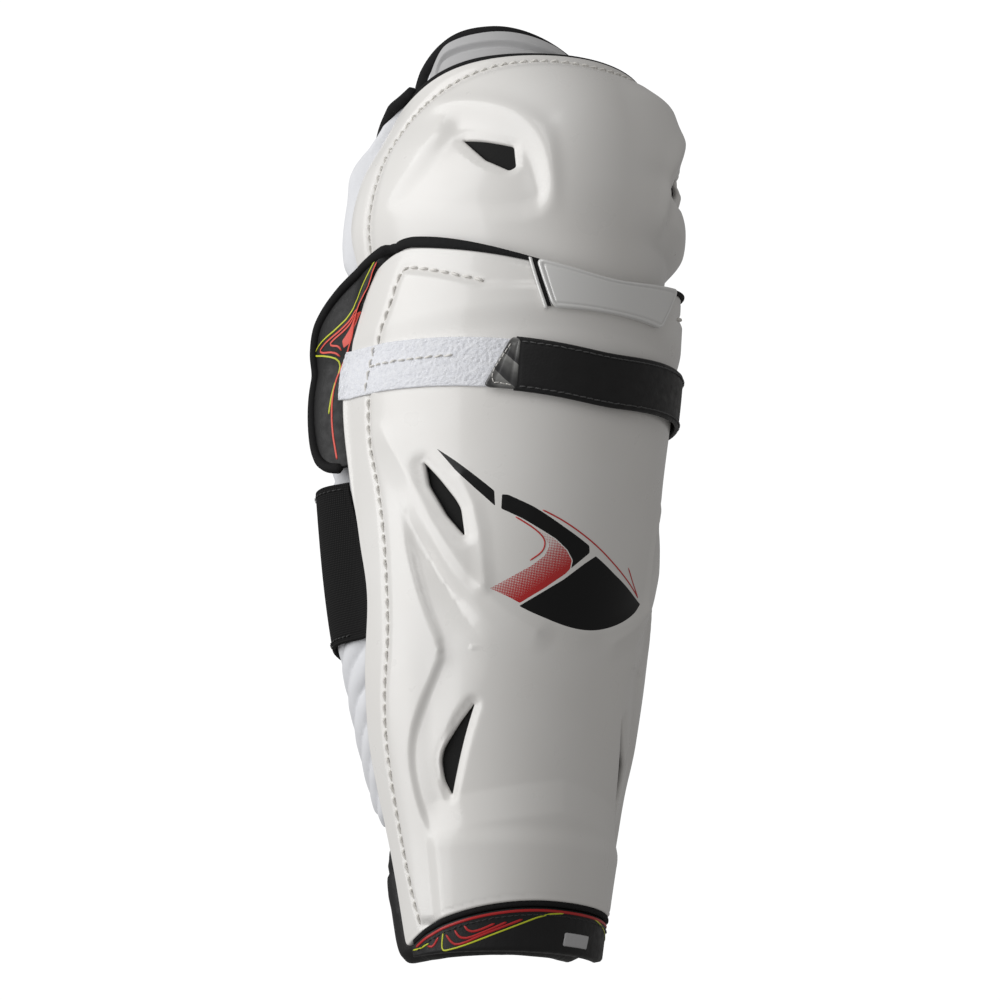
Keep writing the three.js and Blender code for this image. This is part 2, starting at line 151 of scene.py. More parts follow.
class Surface:
    """The outside of one section table."""

    def __init__(self, sections, rear_edge=None):
        self.sections = sections
        self.rear_edge = rear_edge

    def ring(self, angle, z):
        half, front, widest, back, bulge = np.moveaxis(rows_at(self.sections, z), -1, 0)
        s = np.sin(angle * DEGREE)
        c = np.cos(angle * DEGREE)
        behind = np.maximum(-c, 0)
        rear = half * np.abs(s) ** 0.8 + bulge * np.sin(np.pi * behind**0.8) ** 2
        x = np.where(c >= 0, half * s, np.sign(s) * rear)
        y = np.where(c >= 0, widest - (widest - front) * c, widest - (back - widest) * c)
        return np.stack([x, y, z], -1)

    def normal(self, angle, z, step=0.5):
        around = self.ring(angle + step, z) - self.ring(angle - step, z)
        up = self.ring(angle, z + step) - self.ring(angle, z - step)
        n = np.cross(around, up)
        return n / np.linalg.norm(n, axis=-1, keepdims=True)

    def at(self, angle, z, depth=0.0):
        """Points that lie this deep under the surface."""
        angle, z, depth = np.broadcast_arrays(*(np.asarray(v, float) for v in (angle, z, depth)))
        return self.ring(angle, z) - self.normal(angle, z) * depth[..., None]

    def across(self, y, z, side):
        """The angle at which a section reaches this y on a side, -1 outer and 1 inner."""
        _, front, widest, back, _ = np.moveaxis(rows_at(self.sections, z), -1, 0)
        cosine = np.where(y < widest, (widest - y) / (widest - front), -(y - widest) / (back - widest))
        return side * np.arccos(np.clip(cosine, -1, 1)) / DEGREE

    def behind(self, angle, z):
        """How far behind the rear edge a place is."""
        return self.ring(angle, z)[..., 1] - rows_at(self.rear_edge, z)[..., 0]

    def edge(self, z, side, behind=0.0):
        """The angle of the rear edge on a side, or of a line this far behind it."""
        z = np.asarray(z, float)
        return self.across(rows_at(self.rear_edge, z)[..., 0] + behind, z, side)

    def angle_of(self, points):
        """The angles at which points on or near the surface lie."""
        half, front, widest, back, _ = np.moveaxis(rows_at(self.sections, points[:, 2]), -1, 0)
        reach = np.where(points[:, 1] < widest, widest - front, back - widest)
        return np.arctan2(points[:, 0] / half, (widest - points[:, 1]) / reach) / DEGREE


SIDES = ((-1, "lateral"), (1, "medial"))
LEG = Surface(LEG_SECTIONS, SHELL_REAR_EDGE)
KNEE = Surface(KNEE_SECTIONS, KNEE_REAR_EDGE)
THIGH = Surface(THIGH_SECTIONS)


def shell_top(angle):
    slope = np.where(angle < 0, 0.38, 0.32)
    corner = 0.04 * np.maximum(0, np.abs(angle) - 68) ** 2
    return 321 + slope * (np.hypot(angle, 10) - 10) - corner


def shell_bottom(angle):
    return 36 - np.where(angle < 0, 17, 3) * (angle / 85) ** 2


def knee_top(angle):
    return 440 - 11 * np.abs(angle / 90) ** 6


def knee_bottom(angle):
    return 304 + 22 * (angle / 90) ** 2


def strap_height(angle):
    return 275 + 0.2 * (np.hypot(np.minimum(np.abs(angle), 100), 8) - 8)


def wing_top(angle):
    return 340 - 0.75 * (np.abs(angle) - 88)


def wing_bottom(angle):
    return 249 + 0.02 * (np.abs(angle) - 92) ** 2


# ---------- limits and depths of slabs
def level(low, high):
    """Limits that are the same everywhere."""
    return lambda at: (low + 0 * at, high + 0 * at)


def edge_to_edge(surface, behind=0.0):
    """Limits from the outer rear edge to the inner one."""
    return lambda z: (surface.edge(z, -1, behind), surface.edge(z, 1, behind))


def ordered(side, near, far):
    """Limits on one side, -1 outer and 1 inner, from the lower angle to the higher."""
    return (far, near) if side < 0 else (near, far)


def lifted(low, high, rise):
    """The depths of a layer that rise(angle, z) lifts."""
    return lambda angle, z: (low - rise(angle, z), high - rise(angle, z))


def on_shell(low, high):
    """The depths of a layer from low to high millimetres above the shin shell."""
    return lifted(-high, -low, seat)


def strap_band(width):
    """The heights of a band along the upper strap."""
    return lambda angle: (strap_height(angle) - width / 2, strap_height(angle) + width / 2)


def lower_band(inset):
    """The heights of a band along the lower strap, narrower than it by the inset at both edges."""
    return level(LOWER_STRAP_BOTTOM + inset, LOWER_STRAP_TOP - inset)


def seat(angle, z):
    """How far the shin shell stands out where straps and trims lie on it."""
    ahead = 1 - smooth(np.abs(angle), 92, 100)
    return 1.25 * (1 - smooth(np.abs(angle), 73, 80)) + 2.0 * smooth(z, 296, 309) * ahead


def low_seat(angle):
    """The same along the shell's lower edge."""
    return 1.1 * (1 - smooth(np.abs(angle), 70, 78)) + 1.5 * (1 - smooth(np.abs(angle), 58, 67))


# ---------- outlines in the plane of a shell
PLANE = 1.35  # millimetres of the plane per degree


def to_plane(outline):
    return np.array([(a * PLANE, z) for a, z in outline], float)


def mirrored(outline):
    return [(-a, z) for a, z in reversed(outline)]


def lengths(line):
    """How far along a line each of its points is."""
    return np.concatenate([[0], np.cumsum(np.linalg.norm(np.diff(line, axis=0), axis=1))])


def resampled(line, step, closed=True):
    """The line with a point every step."""
    line = np.asarray(line, float)
    if closed:
        line = np.vstack([line, line[:1]])
    length = lengths(line)
    count = max(int(round(length[-1] / step)), 3)
    where = np.linspace(0, length[-1], count + 1)
    if closed:
        where = where[:-1]
    return np.stack([np.interp(where, length, line[:, k]) for k in range(line.shape[1])], -1)


def rounded(line, radius, step=0.7, closed=True):
    """An outline with a point every step and soft corners."""
    line = resampled(line, step, closed)
    window = np.hanning(2 * int(radius / step) + 3)
    window /= window.sum()
    half = len(window) // 2
    if closed:
        longer = np.vstack([line[-half:], line, line[:half]])
    else:
        longer = np.vstack([np.repeat(line[:1], half, 0), line, np.repeat(line[-1:], half, 0)])
    return np.stack([np.convolve(longer[:, k], window, "valid") for k in range(2)], -1)


def offset(loop, distance):
    """A closed outline moved to its own left by the distance."""
    along = np.roll(loop, -1, 0) - np.roll(loop, 1, 0)
    along /= np.linalg.norm(along, axis=1, keepdims=True)
    return loop + np.stack([-along[:, 1], along[:, 0]], -1) * distance


def turned(loop):
    """The outline running counterclockwise."""
    x, y = loop[:, 0], loop[:, 1]
    area = np.sum(x * np.roll(y, -1) - np.roll(x, -1) * y)
    return loop if area > 0 else loop[::-1]


def inside(points, loop):
    """Which points lie inside a closed outline."""
    result = np.zeros(len(points), bool)
    a = loop
    b = np.roll(loop, -1, 0)
    for start in range(0, len(points), 4000):
        p = points[start:start + 4000, None, :]
        crosses = (a[None, :, 1] > p[..., 1]) != (b[None, :, 1] > p[..., 1])
        rise = np.where(b[:, 1] == a[:, 1], 1e-9, b[:, 1] - a[:, 1])
        x = a[None, :, 0] + (p[..., 1] - a[None, :, 1]) * (b[:, 0] - a[:, 0])[None] / rise[None]
        result[start:start + 4000] = np.sum(crosses & (p[..., 0] < x), axis=1) % 2 == 1
    return result


def distance_to(points, line, closed=False):
    """How far points are from a line of straight pieces."""
    a = line if closed else line[:-1]
    b = np.roll(line, -1, 0) if closed else line[1:]
    best = np.full(len(points), np.inf)
    for p0, p1 in zip(a, b):
        d = p1 - p0
        t = np.clip(((points - p0) @ d) / max(d @ d, 1e-12), 0, 1)
        best = np.minimum(best, np.linalg.norm(points - p0 - t[:, None] * d, axis=1))
    return best


def signed_distance(points, loop):
    """Distance to a closed outline, negative inside it."""
    return np.where(inside(points, loop), -1, 1) * distance_to(points, loop, closed=True)


def line_distance(points, path, times=2):
    """How far plane points are from an (angle, z) path with its corners cut."""
    return distance_to(points, to_plane(softened(path, times)))


def away_from(points, outline, radius):
    """How far plane points are outside an (angle, z) outline with soft corners, and 0 inside it."""
    return np.maximum(signed_distance(points, turned(rounded(to_plane(outline), radius))), 0)


# ---------- meshes
CALF_AXIS = 20
CALF_RADIUS = 80


def flatten(surface_points):
    """Cloth coordinates in millimetres, round the leg and up it, for weaves and grain."""
    p = np.asarray(surface_points, float)
    turn = np.arctan2(p[:, 0], CALF_AXIS - p[:, 1])
    return np.stack([turn * CALF_RADIUS, p[:, 2], np.zeros(len(p))], -1)


def make(name, points, faces, materials, body, slot, replaces=(), flat=None, index=None):
    """A piece from pattern points and faces, riding on a body."""
    points = np.asarray(points, float)
    mesh = bpy.data.meshes.new(name)
    mesh.from_pydata(place(points).tolist(), [], [tuple(int(i) for i in f) for f in faces])
    mesh.update()
    for m in materials if isinstance(materials, (list, tuple)) else [materials]:
        mesh.materials.append(m)
    if index is not None:
        mesh.polygons.foreach_set("material_index", np.asarray(index, np.int32))
    cloth = mesh.attributes.new("flat", "FLOAT_VECTOR", "POINT")
    coords = flatten(points) if flat is None else np.asarray(flat, float)
    cloth.data.foreach_set("vector", coords.astype(np.float32).ravel())
    mesh.polygons.foreach_set("use_smooth", np.ones(len(mesh.polygons), bool))
    piece = bpy.data.objects.new(name, mesh)
    bpy.context.scene.collection.objects.link(piece)
    if body:
        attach(piece, body)
    if replaces:
        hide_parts(*([replaces] if isinstance(replaces, str) else replaces))
    return piece


RIM_RADIUS = 1.2
RIM_STEPS = (0, 0.25, 0.7, 1.3, 2.1)
FAR_FROM_RIM = 99.0


def shell_border(angles, heights, radius):
    """The outline of a shell, from its limits, with soft corners."""
    t = np.linspace(0, 1, 120)
    zero = np.zeros_like(t)
    corners = []
    for u, v in ((t, zero), (zero + 1, t), (1 - t, zero + 1), (zero, 1 - t)):
        corners.append(slab_point(angles, heights, u, v))
    loop = np.vstack([np.stack(c, -1) for c in corners])
    return turned(rounded(loop * (PLANE, 1), radius, 1.0))


def slab_point(angles, heights, u, v):
    """The angle and height of a place on a slab, from shares of its width and height."""
    low, high = angles(np.full_like(u, 250.0))
    below, above = heights((low + high) / 2)
    guess = mix(below, above, v)
    low, high = angles(guess)
    angle = mix(low, high, u)
    below, above = heights(angle)
    return angle, mix(below, above, v)


def shell(name, surface, border, holes, prints, height, materials, cell=1.25, thickness=SHELL_THICKNESS,
          **rest):
    """A moulded shell: fine triangles between its border and holes, with a rounded rim all round.

    prints are outlines whose inside takes the next material."""
    loops = [(border, 1)] + [(turned(h), -1) for h in holes]
    points, rim, edges = [], [], []
    count = 0

    def add(group, distance, linked):
        nonlocal count
        n = len(group)
        points.append(group)
        rim.append(np.full(n, distance))
        if linked:
            edges.extend((count + k, count + (k + 1) % n) for k in range(n))
        count += n

    for loop, side in loops:
        for distance in RIM_STEPS:
            ring = offset(loop, side * distance)
            if distance:
                ring = ring[distance_to(ring, loop, closed=True) > 0.94 * distance]
            add(ring, distance, distance == 0)
    for outline in prints:
        add(outline, FAR_FROM_RIM, True)
    tree = kdtree.KDTree(count)
    for i, p in enumerate(np.vstack(points)):
        tree.insert((p[0], p[1], 0), i)
    tree.balance()
    low = border.min(0)
    high = border.max(0)
    rows = np.arange(low[1], high[1], cell * 0.9)
    columns = np.arange(low[0], high[0], cell)
    grid = np.array([(x + (k % 2) * cell / 2, y) for k, y in enumerate(rows) for x in columns])
    grid = grid[inside(grid, border)]
    clear = np.array([tree.find((x, y, 0))[2] > 0.75 * cell for x, y in grid])
    add(grid[clear], FAR_FROM_RIM, False)
    source = np.vstack(points)
    distances = np.concatenate(rim)
    out = geometry.delaunay_2d_cdt([Vector(p) for p in source], edges, [], 0, 1e-5)
    flat = np.array([(p.x, p.y) for p in out[0]])
    edge_distance = np.array([min((distances[i] for i in group), default=FAR_FROM_RIM) for group in out[3]])
    faces = np.array(out[2])
    centres = flat[faces].mean(1)
    keep = inside(centres, border)
    for hole, _ in loops[1:]:
        keep &= ~inside(centres, hole)
    faces, centres = faces[keep], centres[keep]
    index = np.zeros(len(faces), int)
    for k, outline in enumerate(prints):
        index[inside(centres, outline)] = k + 1
    return moulded(name, surface, flat, faces, index, edge_distance, height, materials, thickness, **rest)


def moulded(name, surface, flat, faces, index, edge_distance, height, materials, thickness, **rest):
    """Raises the flat triangles onto the surface and gives them their thickness."""
    angle = flat[:, 0] / PLANE
    z = flat[:, 1]
    share = np.clip(edge_distance / RIM_RADIUS, 0, 1)
    roll = RIM_RADIUS * (1 - np.sqrt(1 - (1 - share) ** 2))
    bevel = 0.22 * bell(edge_distance, RIM_STEPS[-1], 0.5)
    relief = height(angle, z) - roll - bevel
    used = np.zeros(len(flat), bool)
    used[faces] = True
    order = np.cumsum(used) - 1
    faces = order[faces]
    angle, z, relief, flat = angle[used], z[used], relief[used], flat[used]
    outer = surface.at(angle, z, -relief)
    inner = surface.at(angle, z, thickness - height(angle, z))
    n = len(outer)
    pairs = np.sort(np.vstack([faces[:, [0, 1]], faces[:, [1, 2]], faces[:, [2, 0]]]), axis=1)
    keys, counts = np.unique(pairs[:, 0] * n + pairs[:, 1], return_counts=True)
    lone = set(keys[counts == 1].tolist())
    walls = []
    for f in faces:
        for a, b in ((f[0], f[1]), (f[1], f[2]), (f[2], f[0])):
            if min(a, b) * n + max(a, b) in lone:
                walls.append((b, a, a + n, b + n))
    all_faces = [tuple(f) for f in faces] + [tuple(f[::-1] + n) for f in faces] + walls
    colours = np.concatenate([index, np.zeros(len(faces) + len(walls), int)])
    coords = np.column_stack([flat, np.zeros(n)])
    return make(name, np.vstack([outer, inner]), all_faces, materials,
                flat=np.vstack([coords, coords]), index=colours, **rest)


def spread(count, tight=0.5):
    """Shares from 0 to 1 that lie closer together near both ends."""
    t = np.linspace(0, 1, count)
    return mix(t, (1 - np.cos(np.pi * t)) / 2, tight)


def pad(name, surface, angles, heights, depths, cells, materials, rim=None, corner=0.0, corner_side=0,
        relief=None, inner_relief=None, **rest):
    """A closed, soft-edged slab bent onto a surface.

    rim is the radius of its edges and corner that of its corners, which are on one side only if corner_side
    is -1 or 1. relief(angle, z, gap) lifts its outer face; gap is the distance to the nearest edge."""
    u, v = np.meshgrid(spread(cells[0] + 1), spread(cells[1] + 1), indexing="ij")
    angle, z = slab_point(angles, heights, u, v)
    middle = surface.at(angle, z)
    width = np.linalg.norm(np.diff(middle, axis=0), axis=-1).sum(0).mean()
    tall = np.linalg.norm(np.diff(middle, axis=1), axis=-1).sum(1).mean()
    x = (u - 0.5) * width
    y = (v - 0.5) * tall
    rounded_here = x * corner_side >= 0
    if corner:
        qx = np.maximum(np.abs(x) - (width / 2 - corner), 0) / corner
        qy = np.maximum(np.abs(y) - (tall / 2 - corner), 0) / corner
        both = (qx > 0) & (qy > 0) & rounded_here
        length = np.where(both, np.hypot(qx, qy), 1)
        shrink = np.where(both, np.maximum(qx, qy) / length, 1)
        x = np.where(both, np.sign(x) * (width / 2 - corner + qx * shrink * corner), x)
        y = np.where(both, np.sign(y) * (tall / 2 - corner + qy * shrink * corner), y)
        angle, z = slab_point(angles, heights, x / width + 0.5, y / tall + 0.5)
    gap = np.minimum(width / 2 - np.abs(x), tall / 2 - np.abs(y))
    if corner:
        rx = np.abs(x) - (width / 2 - corner)
        ry = np.abs(y) - (tall / 2 - corner)
        gap = np.where((rx > 0) & (ry > 0) & rounded_here, corner - np.hypot(rx, ry), gap)
    outer_depth, inner_depth = depths(angle, z) if callable(depths) else depths
    thickness = inner_depth - outer_depth
    rim = thickness / 2 if rim is None else rim
    share = np.clip(gap / rim, 0, 1)
    fullness = np.sqrt(np.maximum(1 - (1 - share) ** 2, 0))
    centre = (outer_depth + inner_depth) / 2
    raised = relief(angle, z, gap) * fullness if relief else 0
    sunk = inner_relief(angle, z, gap) * fullness if inner_relief else 0
    outer = surface.at(angle, z, centre - thickness / 2 * fullness - raised)
    inner = surface.at(angle, z, centre + thickness / 2 * fullness + sunk)
    nu, nv = angle.shape
    ids = np.arange(nu * nv).reshape(nu, nv)
    inner_ids = ids.copy()
    inner_ids[1:-1, 1:-1] = nu * nv + np.arange((nu - 2) * (nv - 2)).reshape(nu - 2, nv - 2)
    faces = []
    for grid, flip in ((ids, False), (inner_ids, True)):
        a, b, c, d = grid[:-1, :-1], grid[1:, :-1], grid[1:, 1:], grid[:-1, 1:]
        quads = np.stack([a, b, c, d], -1).reshape(-1, 4)
        faces.extend(quads[:, ::-1].tolist() if flip else quads.tolist())
    points = np.vstack([outer.reshape(-1, 3), inner[1:-1, 1:-1].reshape(-1, 3)])
    return make(name, points, faces, materials, **rest)


TUBE_END = 0.45  # share of a tube's radius at its two ends


def tubes(name, lines, radius, material, sides=8, squash=1.0, **rest):
    """Closed tubes along lines of points with their normals; squash flattens them along the normals."""
    points, faces, coords = [], [], []
    count = 0
    turn = np.linspace(0, 2 * np.pi, sides, endpoint=False)
    for line, out in lines:
        along = np.gradient(line, axis=0)
        along /= np.linalg.norm(along, axis=1, keepdims=True)
        side = np.cross(along, out)
        side /= np.maximum(np.linalg.norm(side, axis=1, keepdims=True), 1e-9)
        out = np.cross(side, along)
        n = len(line)
        size = radius(np.linspace(0, 1, n)) if callable(radius) else np.full(n, float(radius))
        size[[0, -1]] *= TUBE_END
        ring = side[:, None] * np.cos(turn)[None, :, None]
        ring = ring + squash * out[:, None] * np.sin(turn)[None, :, None]
        body = line[:, None] + ring * size[:, None, None]
        points.append(body.reshape(-1, 3))
        around = (turn[None, :] * size[:, None]).ravel()
        coords.append(np.stack([np.repeat(lengths(line), sides), around, np.zeros(n * sides)], -1))
        for i in range(n - 1):
            for j in range(sides):
                a = count + i * sides + j
                b = count + i * sides + (j + 1) % sides
                faces.append((a, a + sides, b + sides, b))
        faces.append(tuple(count + j for j in range(sides)))
        faces.append(tuple(count + (n - 1) * sides + j for j in reversed(range(sides))))
        count += n * sides
    return make(name, np.vstack(points), faces, material, flat=np.vstack(coords), **rest)


def on_surface(surface, path, height, lift, step):
    """Points and normals along an (angle, z) path, raised off the surface."""
    coarse = resampled(np.array(path, float) * (PLANE, 1), 0.5, closed=False) / (PLANE, 1)
    length = lengths(surface.at(coarse[:, 0], coarse[:, 1]))
    count = max(int(round(length[-1] / step)), 2)
    where = np.linspace(0, length[-1], count + 1)
    angle = np.interp(where, length, coarse[:, 0])
    z = np.interp(where, length, coarse[:, 1])
    return surface.at(angle, z, -height(angle, z) - lift), surface.normal(angle, z)


def softened(path, times=2):
    """An open path with its corners cut."""
    path = np.array(path, float)
    for _ in range(times):
        a = path[:-1] * 0.75 + path[1:] * 0.25
        b = path[:-1] * 0.25 + path[1:] * 0.75
        path = np.vstack([path[:1], np.stack([a, b], 1).reshape(-1, 2), path[-1:]])
    return path


STITCH_PITCH = 6.2
THREAD_RADIUS = 0.62


def stitches(name, surface, paths, height, material, pitch=STITCH_PITCH, radius=THREAD_RADIUS, seed=1,
             **rest):
    """Rows of stitches, each tilted a little its own way, that dip into the fabric at both ends."""
    random = np.random.default_rng(seed)
    lines = []
    t = np.linspace(-1, 1, 9)
    arch = radius * (1.3 - 2.6 * np.abs(t) ** 4)
    for path in paths:
        points, normals = on_surface(surface, path, height, 0.0, pitch)
        for a, b, n in zip(points[:-1], points[1:], (normals[:-1] + normals[1:]) / 2):
            length = np.linalg.norm(b - a)
            along = (b - a) / length
            tilt = random.normal(0, 0.09)
            reach = length * random.uniform(0.42, 0.47)
            wave = radius * 0.8 * np.sin(np.pi * 0.9 * t + random.uniform(-0.3, 0.3))
            line = (a + b) / 2 + (along + np.cross(along, n) * tilt) * (t * reach)[:, None]
            lines.append((line + n * (arch + wave)[:, None], np.tile(n, (len(t), 1))))
    return tubes(name, lines, radius, material, sides=6, **rest)


# ---------- materials
class Finish:
    """A material and short ways to add nodes to it."""

    def __init__(self, name, color, roughness, **sockets):
        self.material = bpy.data.materials.new(name)
        self.material.use_nodes = True
        self.base = color
        self.tree = self.material.node_tree
        self.shader = self.tree.nodes["Principled BSDF"]
        self.shader.inputs["Base Color"].default_value = (*color, 1)
        self.shader.inputs["Roughness"].default_value = roughness
        for key, value in sockets.items():
            self.shader.inputs[key.replace("_", " ")].default_value = value
        self.flat = self.add("ShaderNodeAttribute", attribute_name="flat").outputs["Vector"]

    def add(self, kind, inputs=None, **settings):
        node = self.tree.nodes.new(kind)
        for key, value in settings.items():
            setattr(node, key, value)
        for key, value in (inputs or {}).items():
            if isinstance(value, bpy.types.NodeSocket):
                self.tree.links.new(value, node.inputs[key])
            else:
                node.inputs[key].default_value = value
        return node

    def noise(self, size, detail, distortion=0.0):
        """Noise whose features are about this many millimetres across."""
        found = {"Vector": self.flat, "Scale": 1 / size, "Detail": detail, "Distortion": distortion}
        return self.add("ShaderNodeTexNoise", found).outputs["Fac"]

    def bands(self, period, direction="X", distortion=0.0, profile="SIN"):
        found = {"Vector": self.flat, "Scale": math.pi / (10 * period), "Distortion": distortion}
        node = self.add("ShaderNodeTexWave", found, bands_direction=direction, wave_profile=profile)
        return node.outputs["Fac"]

    def cells(self, size):
        return self.add("ShaderNodeTexVoronoi", {"Vector": self.flat, "Scale": 1 / size}).outputs["Distance"]

    def math(self, operation, a, b=0.0):
        return self.add("ShaderNodeMath", {0: a, 1: b}, operation=operation).outputs[0]

    def ramp(self, value, low, high, a, b):
        """a at low and b at high, as numbers."""
        found = {"Value": value, "From Min": low, "From Max": high, "To Min": a, "To Max": b}
        return self.add("ShaderNodeMapRange", found).outputs["Result"]

    def blend(self, factor, a, b):
        """Colour a at 0 and b at 1."""
        node = self.add("ShaderNodeMix", data_type="RGBA")
        for socket, value in ((node.inputs["Factor"], factor), (node.inputs[6], a), (node.inputs[7], b)):
            if isinstance(value, bpy.types.NodeSocket):
                self.tree.links.new(value, socket)
            else:
                socket.default_value = value if isinstance(value, float) else (*value, 1)
        return node.outputs[2]

    def color(self, socket):
        self.tree.links.new(socket, self.shader.inputs["Base Color"])
        return self

    def mottle(self, size, detail, low, high=1):
        """Patches between two shares of the material's own colour."""
        dark, light = (tuple(c * share for c in self.base) for share in (low, high))
        return self.color(self.blend(self.noise(size, detail), dark, light))

    def wear(self, size, detail, low, high):
        """Roughness in patches, from low to high."""
        patches = self.ramp(self.noise(size, detail), 0.3, 0.7, low, high)
        self.tree.links.new(patches, self.shader.inputs["Roughness"])
        return self

    def bump(self, height, strength, distance):
        """Bumps of this height in millimetres, added to those already there."""
        found = {"Height": height, "Strength": strength, "Distance": distance * GRADE * MM}
        normal = self.shader.inputs["Normal"]
        if normal.is_linked:
            found["Normal"] = normal.links[0].from_socket
        node = self.add("ShaderNodeBump", found)
        self.tree.links.new(node.outputs["Normal"], normal)
        return self

    def grain(self, size, detail, strength, distance):
        """Bumps of fine noise."""
        return self.bump(self.noise(size, detail), strength, distance)


PAINT_WHITE = (0.80, 0.785, 0.76)
DOT_RED = (0.50, 0.012, 0.012)
DOT_TURN = 0.62
DOT_PITCH = 1.05


def shell_white():
    f = Finish("white_shell", PAINT_WHITE, 0.3, Coat_Weight=0.35, Coat_Roughness=0.12, IOR=1.45)
    f.color(f.blend(f.ramp(f.noise(60, 3), 0.3, 0.7, 0, 1), PAINT_WHITE, (0.83, 0.82, 0.80)))
    return f.wear(18, 4, 0.26, 0.36).grain(5, 2, 0.25, 0.05).material


def print_black():
    f = Finish("black_print", (0.004, 0.004, 0.0045), 0.3, IOR=1.35)
    return f.wear(6, 4, 0.3, 0.42).grain(0.5, 2, 0.2, 0.03).material


def print_dots():
    """A red that thins out into rows of dots towards the upper outer side."""
    f = Finish("red_dot_print", DOT_RED, 0.25, Coat_Weight=0.4, Coat_Roughness=0.08)
    rows = f.add("ShaderNodeVectorRotate", {"Vector": f.flat, "Angle": DOT_TURN}, rotation_type="Z_AXIS")
    axes = f.add("ShaderNodeSeparateXYZ", {0: rows.outputs[0]})
    across, along = (
        f.math("SINE", f.math("MULTIPLY", axes.outputs[k], 2 * math.pi / DOT_PITCH)) for k in (0, 1))
    x, y, _ = f.add("ShaderNodeSeparateXYZ", {0: f.flat}).outputs
    far = f.math("SUBTRACT", f.math("MULTIPLY", y, 0.8), f.math("MULTIPLY", x, 0.6))
    dots = f.math("GREATER_THAN", f.math("MULTIPLY", across, along), f.ramp(far, 155, 178, -1.1, 0.95))
    return f.color(f.blend(dots, PAINT_WHITE, DOT_RED)).grain(5, 2, 0.25, 0.05).material


def print_red():
    f = Finish("red_line_print", (0.5, 0.02, 0.02), 0.3)
    f.color(f.blend(f.noise(2, 3), (0.5, 0.02, 0.02), (0.62, 0.04, 0.035)))
    return f.grain(0.5, 2, 0.2, 0.03).material


def line_ink(name, color):
    return Finish(name, color, 0.4).mottle(1.5, 3, 0.85).grain(0.35, 2, 0.4, 0.04).material


def badge_silver():
    f = Finish("satin_badge", (0.80, 0.80, 0.79), 0.26, Metallic=0.15, Coat_Weight=0.4, Coat_Roughness=0.12)
    return f.wear(40, 2, 0.30, 0.32).grain(0.8, 2, 0.08, 0.01).material


def ribbed_black():
    """Woven grosgrain tape."""
    f = Finish("black_binding", (0.008, 0.008, 0.0085), 0.85, IOR=1.35)
    return f.mottle(3, 4, 0.7, 1.6).bump(f.bands(0.55), 0.9, 0.12).grain(0.3, 3, 0.4, 0.06).material


def knit_black():
    """Knitted elastic: small stitches in rows."""
    f = Finish("black_elastic", (0.01, 0.01, 0.011), 0.9, IOR=1.3)
    knit = f.math("MULTIPLY", f.bands(1.1, "Y", 0.3), f.bands(0.9, "X", 0.3))
    f.color(f.blend(knit, (0.004, 0.004, 0.0045), (0.026, 0.0255, 0.025)))
    return f.bump(knit, 0.9, 0.3).grain(0.4, 3, 0.5, 0.1).material


def vinyl_black():
    f = Finish("black_vinyl", (0.008, 0.008, 0.0085), 0.5, IOR=1.4)
    f.mottle(5, 4, 0.7, 1.5).wear(4, 4, 0.42, 0.6)
    return f.bump(f.cells(0.9), 0.5, 0.12).grain(0.25, 3, 0.4, 0.05).material


def fabric_white(name, color):
    f = Finish(name, color, 0.8, Sheen_Weight=0.2, Sheen_Roughness=0.4).mottle(12, 3, 0.95)
    weave = f.math("MULTIPLY", f.bands(0.5, "X"), f.bands(0.5, "Y"))
    return f.bump(weave, 0.6, 0.08).grain(2.5, 3, 0.4, 0.12).material


def mesh_black():
    """Spacer mesh: a net of small holes."""
    f = Finish("black_mesh", (0.02, 0.02, 0.021), 0.88, Sheen_Weight=0.25)
    holes = f.cells(1.7)
    f.color(f.blend(f.ramp(holes, 0.2, 0.5, 0, 1), (0.004, 0.004, 0.004), (0.035, 0.035, 0.037)))
    return f.bump(holes, 1.0, 0.5).grain(0.4, 3, 0.4, 0.06).material


def foam_black():
    f = Finish("black_foam", (0.014, 0.014, 0.015), 0.92)
    f.color(f.blend(f.noise(1.0, 4), (0.002, 0.002, 0.002), (0.006, 0.006, 0.006)))
    return f.grain(0.7, 4, 0.6, 0.15).material


def loop_white():
    """Brushed loop pile."""
    f = Finish("loop_pile", (0.80, 0.82, 0.87), 0.95, Sheen_Weight=0.5, Sheen_Roughness=0.4)
    fuzz = f.noise(0.55, 6, 0.2)
    clumps = f.noise(3, 5)
    shade = f.math("ADD", f.math("MULTIPLY", fuzz, 0.6), f.math("MULTIPLY", clumps, 0.4))
    f.color(f.blend(f.ramp(shade, 0.35, 0.65, 0, 1), (0.76, 0.775, 0.83), (0.91, 0.92, 0.95)))
    return f.bump(fuzz, 0.8, 0.3).bump(clumps, 0.3, 0.2).material


def hook_black():
    f = Finish("hook_tape", (0.016, 0.016, 0.017), 0.7)
    spots = f.cells(0.9)
    f.color(f.blend(f.ramp(spots, 0, 0.5, 0, 1), (0.05, 0.05, 0.052), (0.008, 0.008, 0.009)))
    return f.bump(spots, 1.0, 0.4).material


def tab_grey():
    """Moulded end tab with pale slanting streaks."""
    f = Finish("grey_tab", (0.10, 0.10, 0.10), 0.32, Coat_Weight=0.3, Coat_Roughness=0.15)
    streaks = f.math("MULTIPLY", f.bands(5.5, "DIAGONAL", 1.5, "SAW"), f.noise(7, 3))
    f.color(f.blend(f.ramp(streaks, 0.1, 0.6, 0, 1), (0.035, 0.035, 0.036), (0.30, 0.30, 0.29)))
    return f.grain(0.4, 2, 0.3, 0.05).material


def thread(name, color):
    f = Finish(name, color, 0.7, Sheen_Weight=0.2).mottle(2.0, 3, 0.8)
    return f.bump(f.bands(0.55, "DIAGONAL"), 0.4, 0.08).material


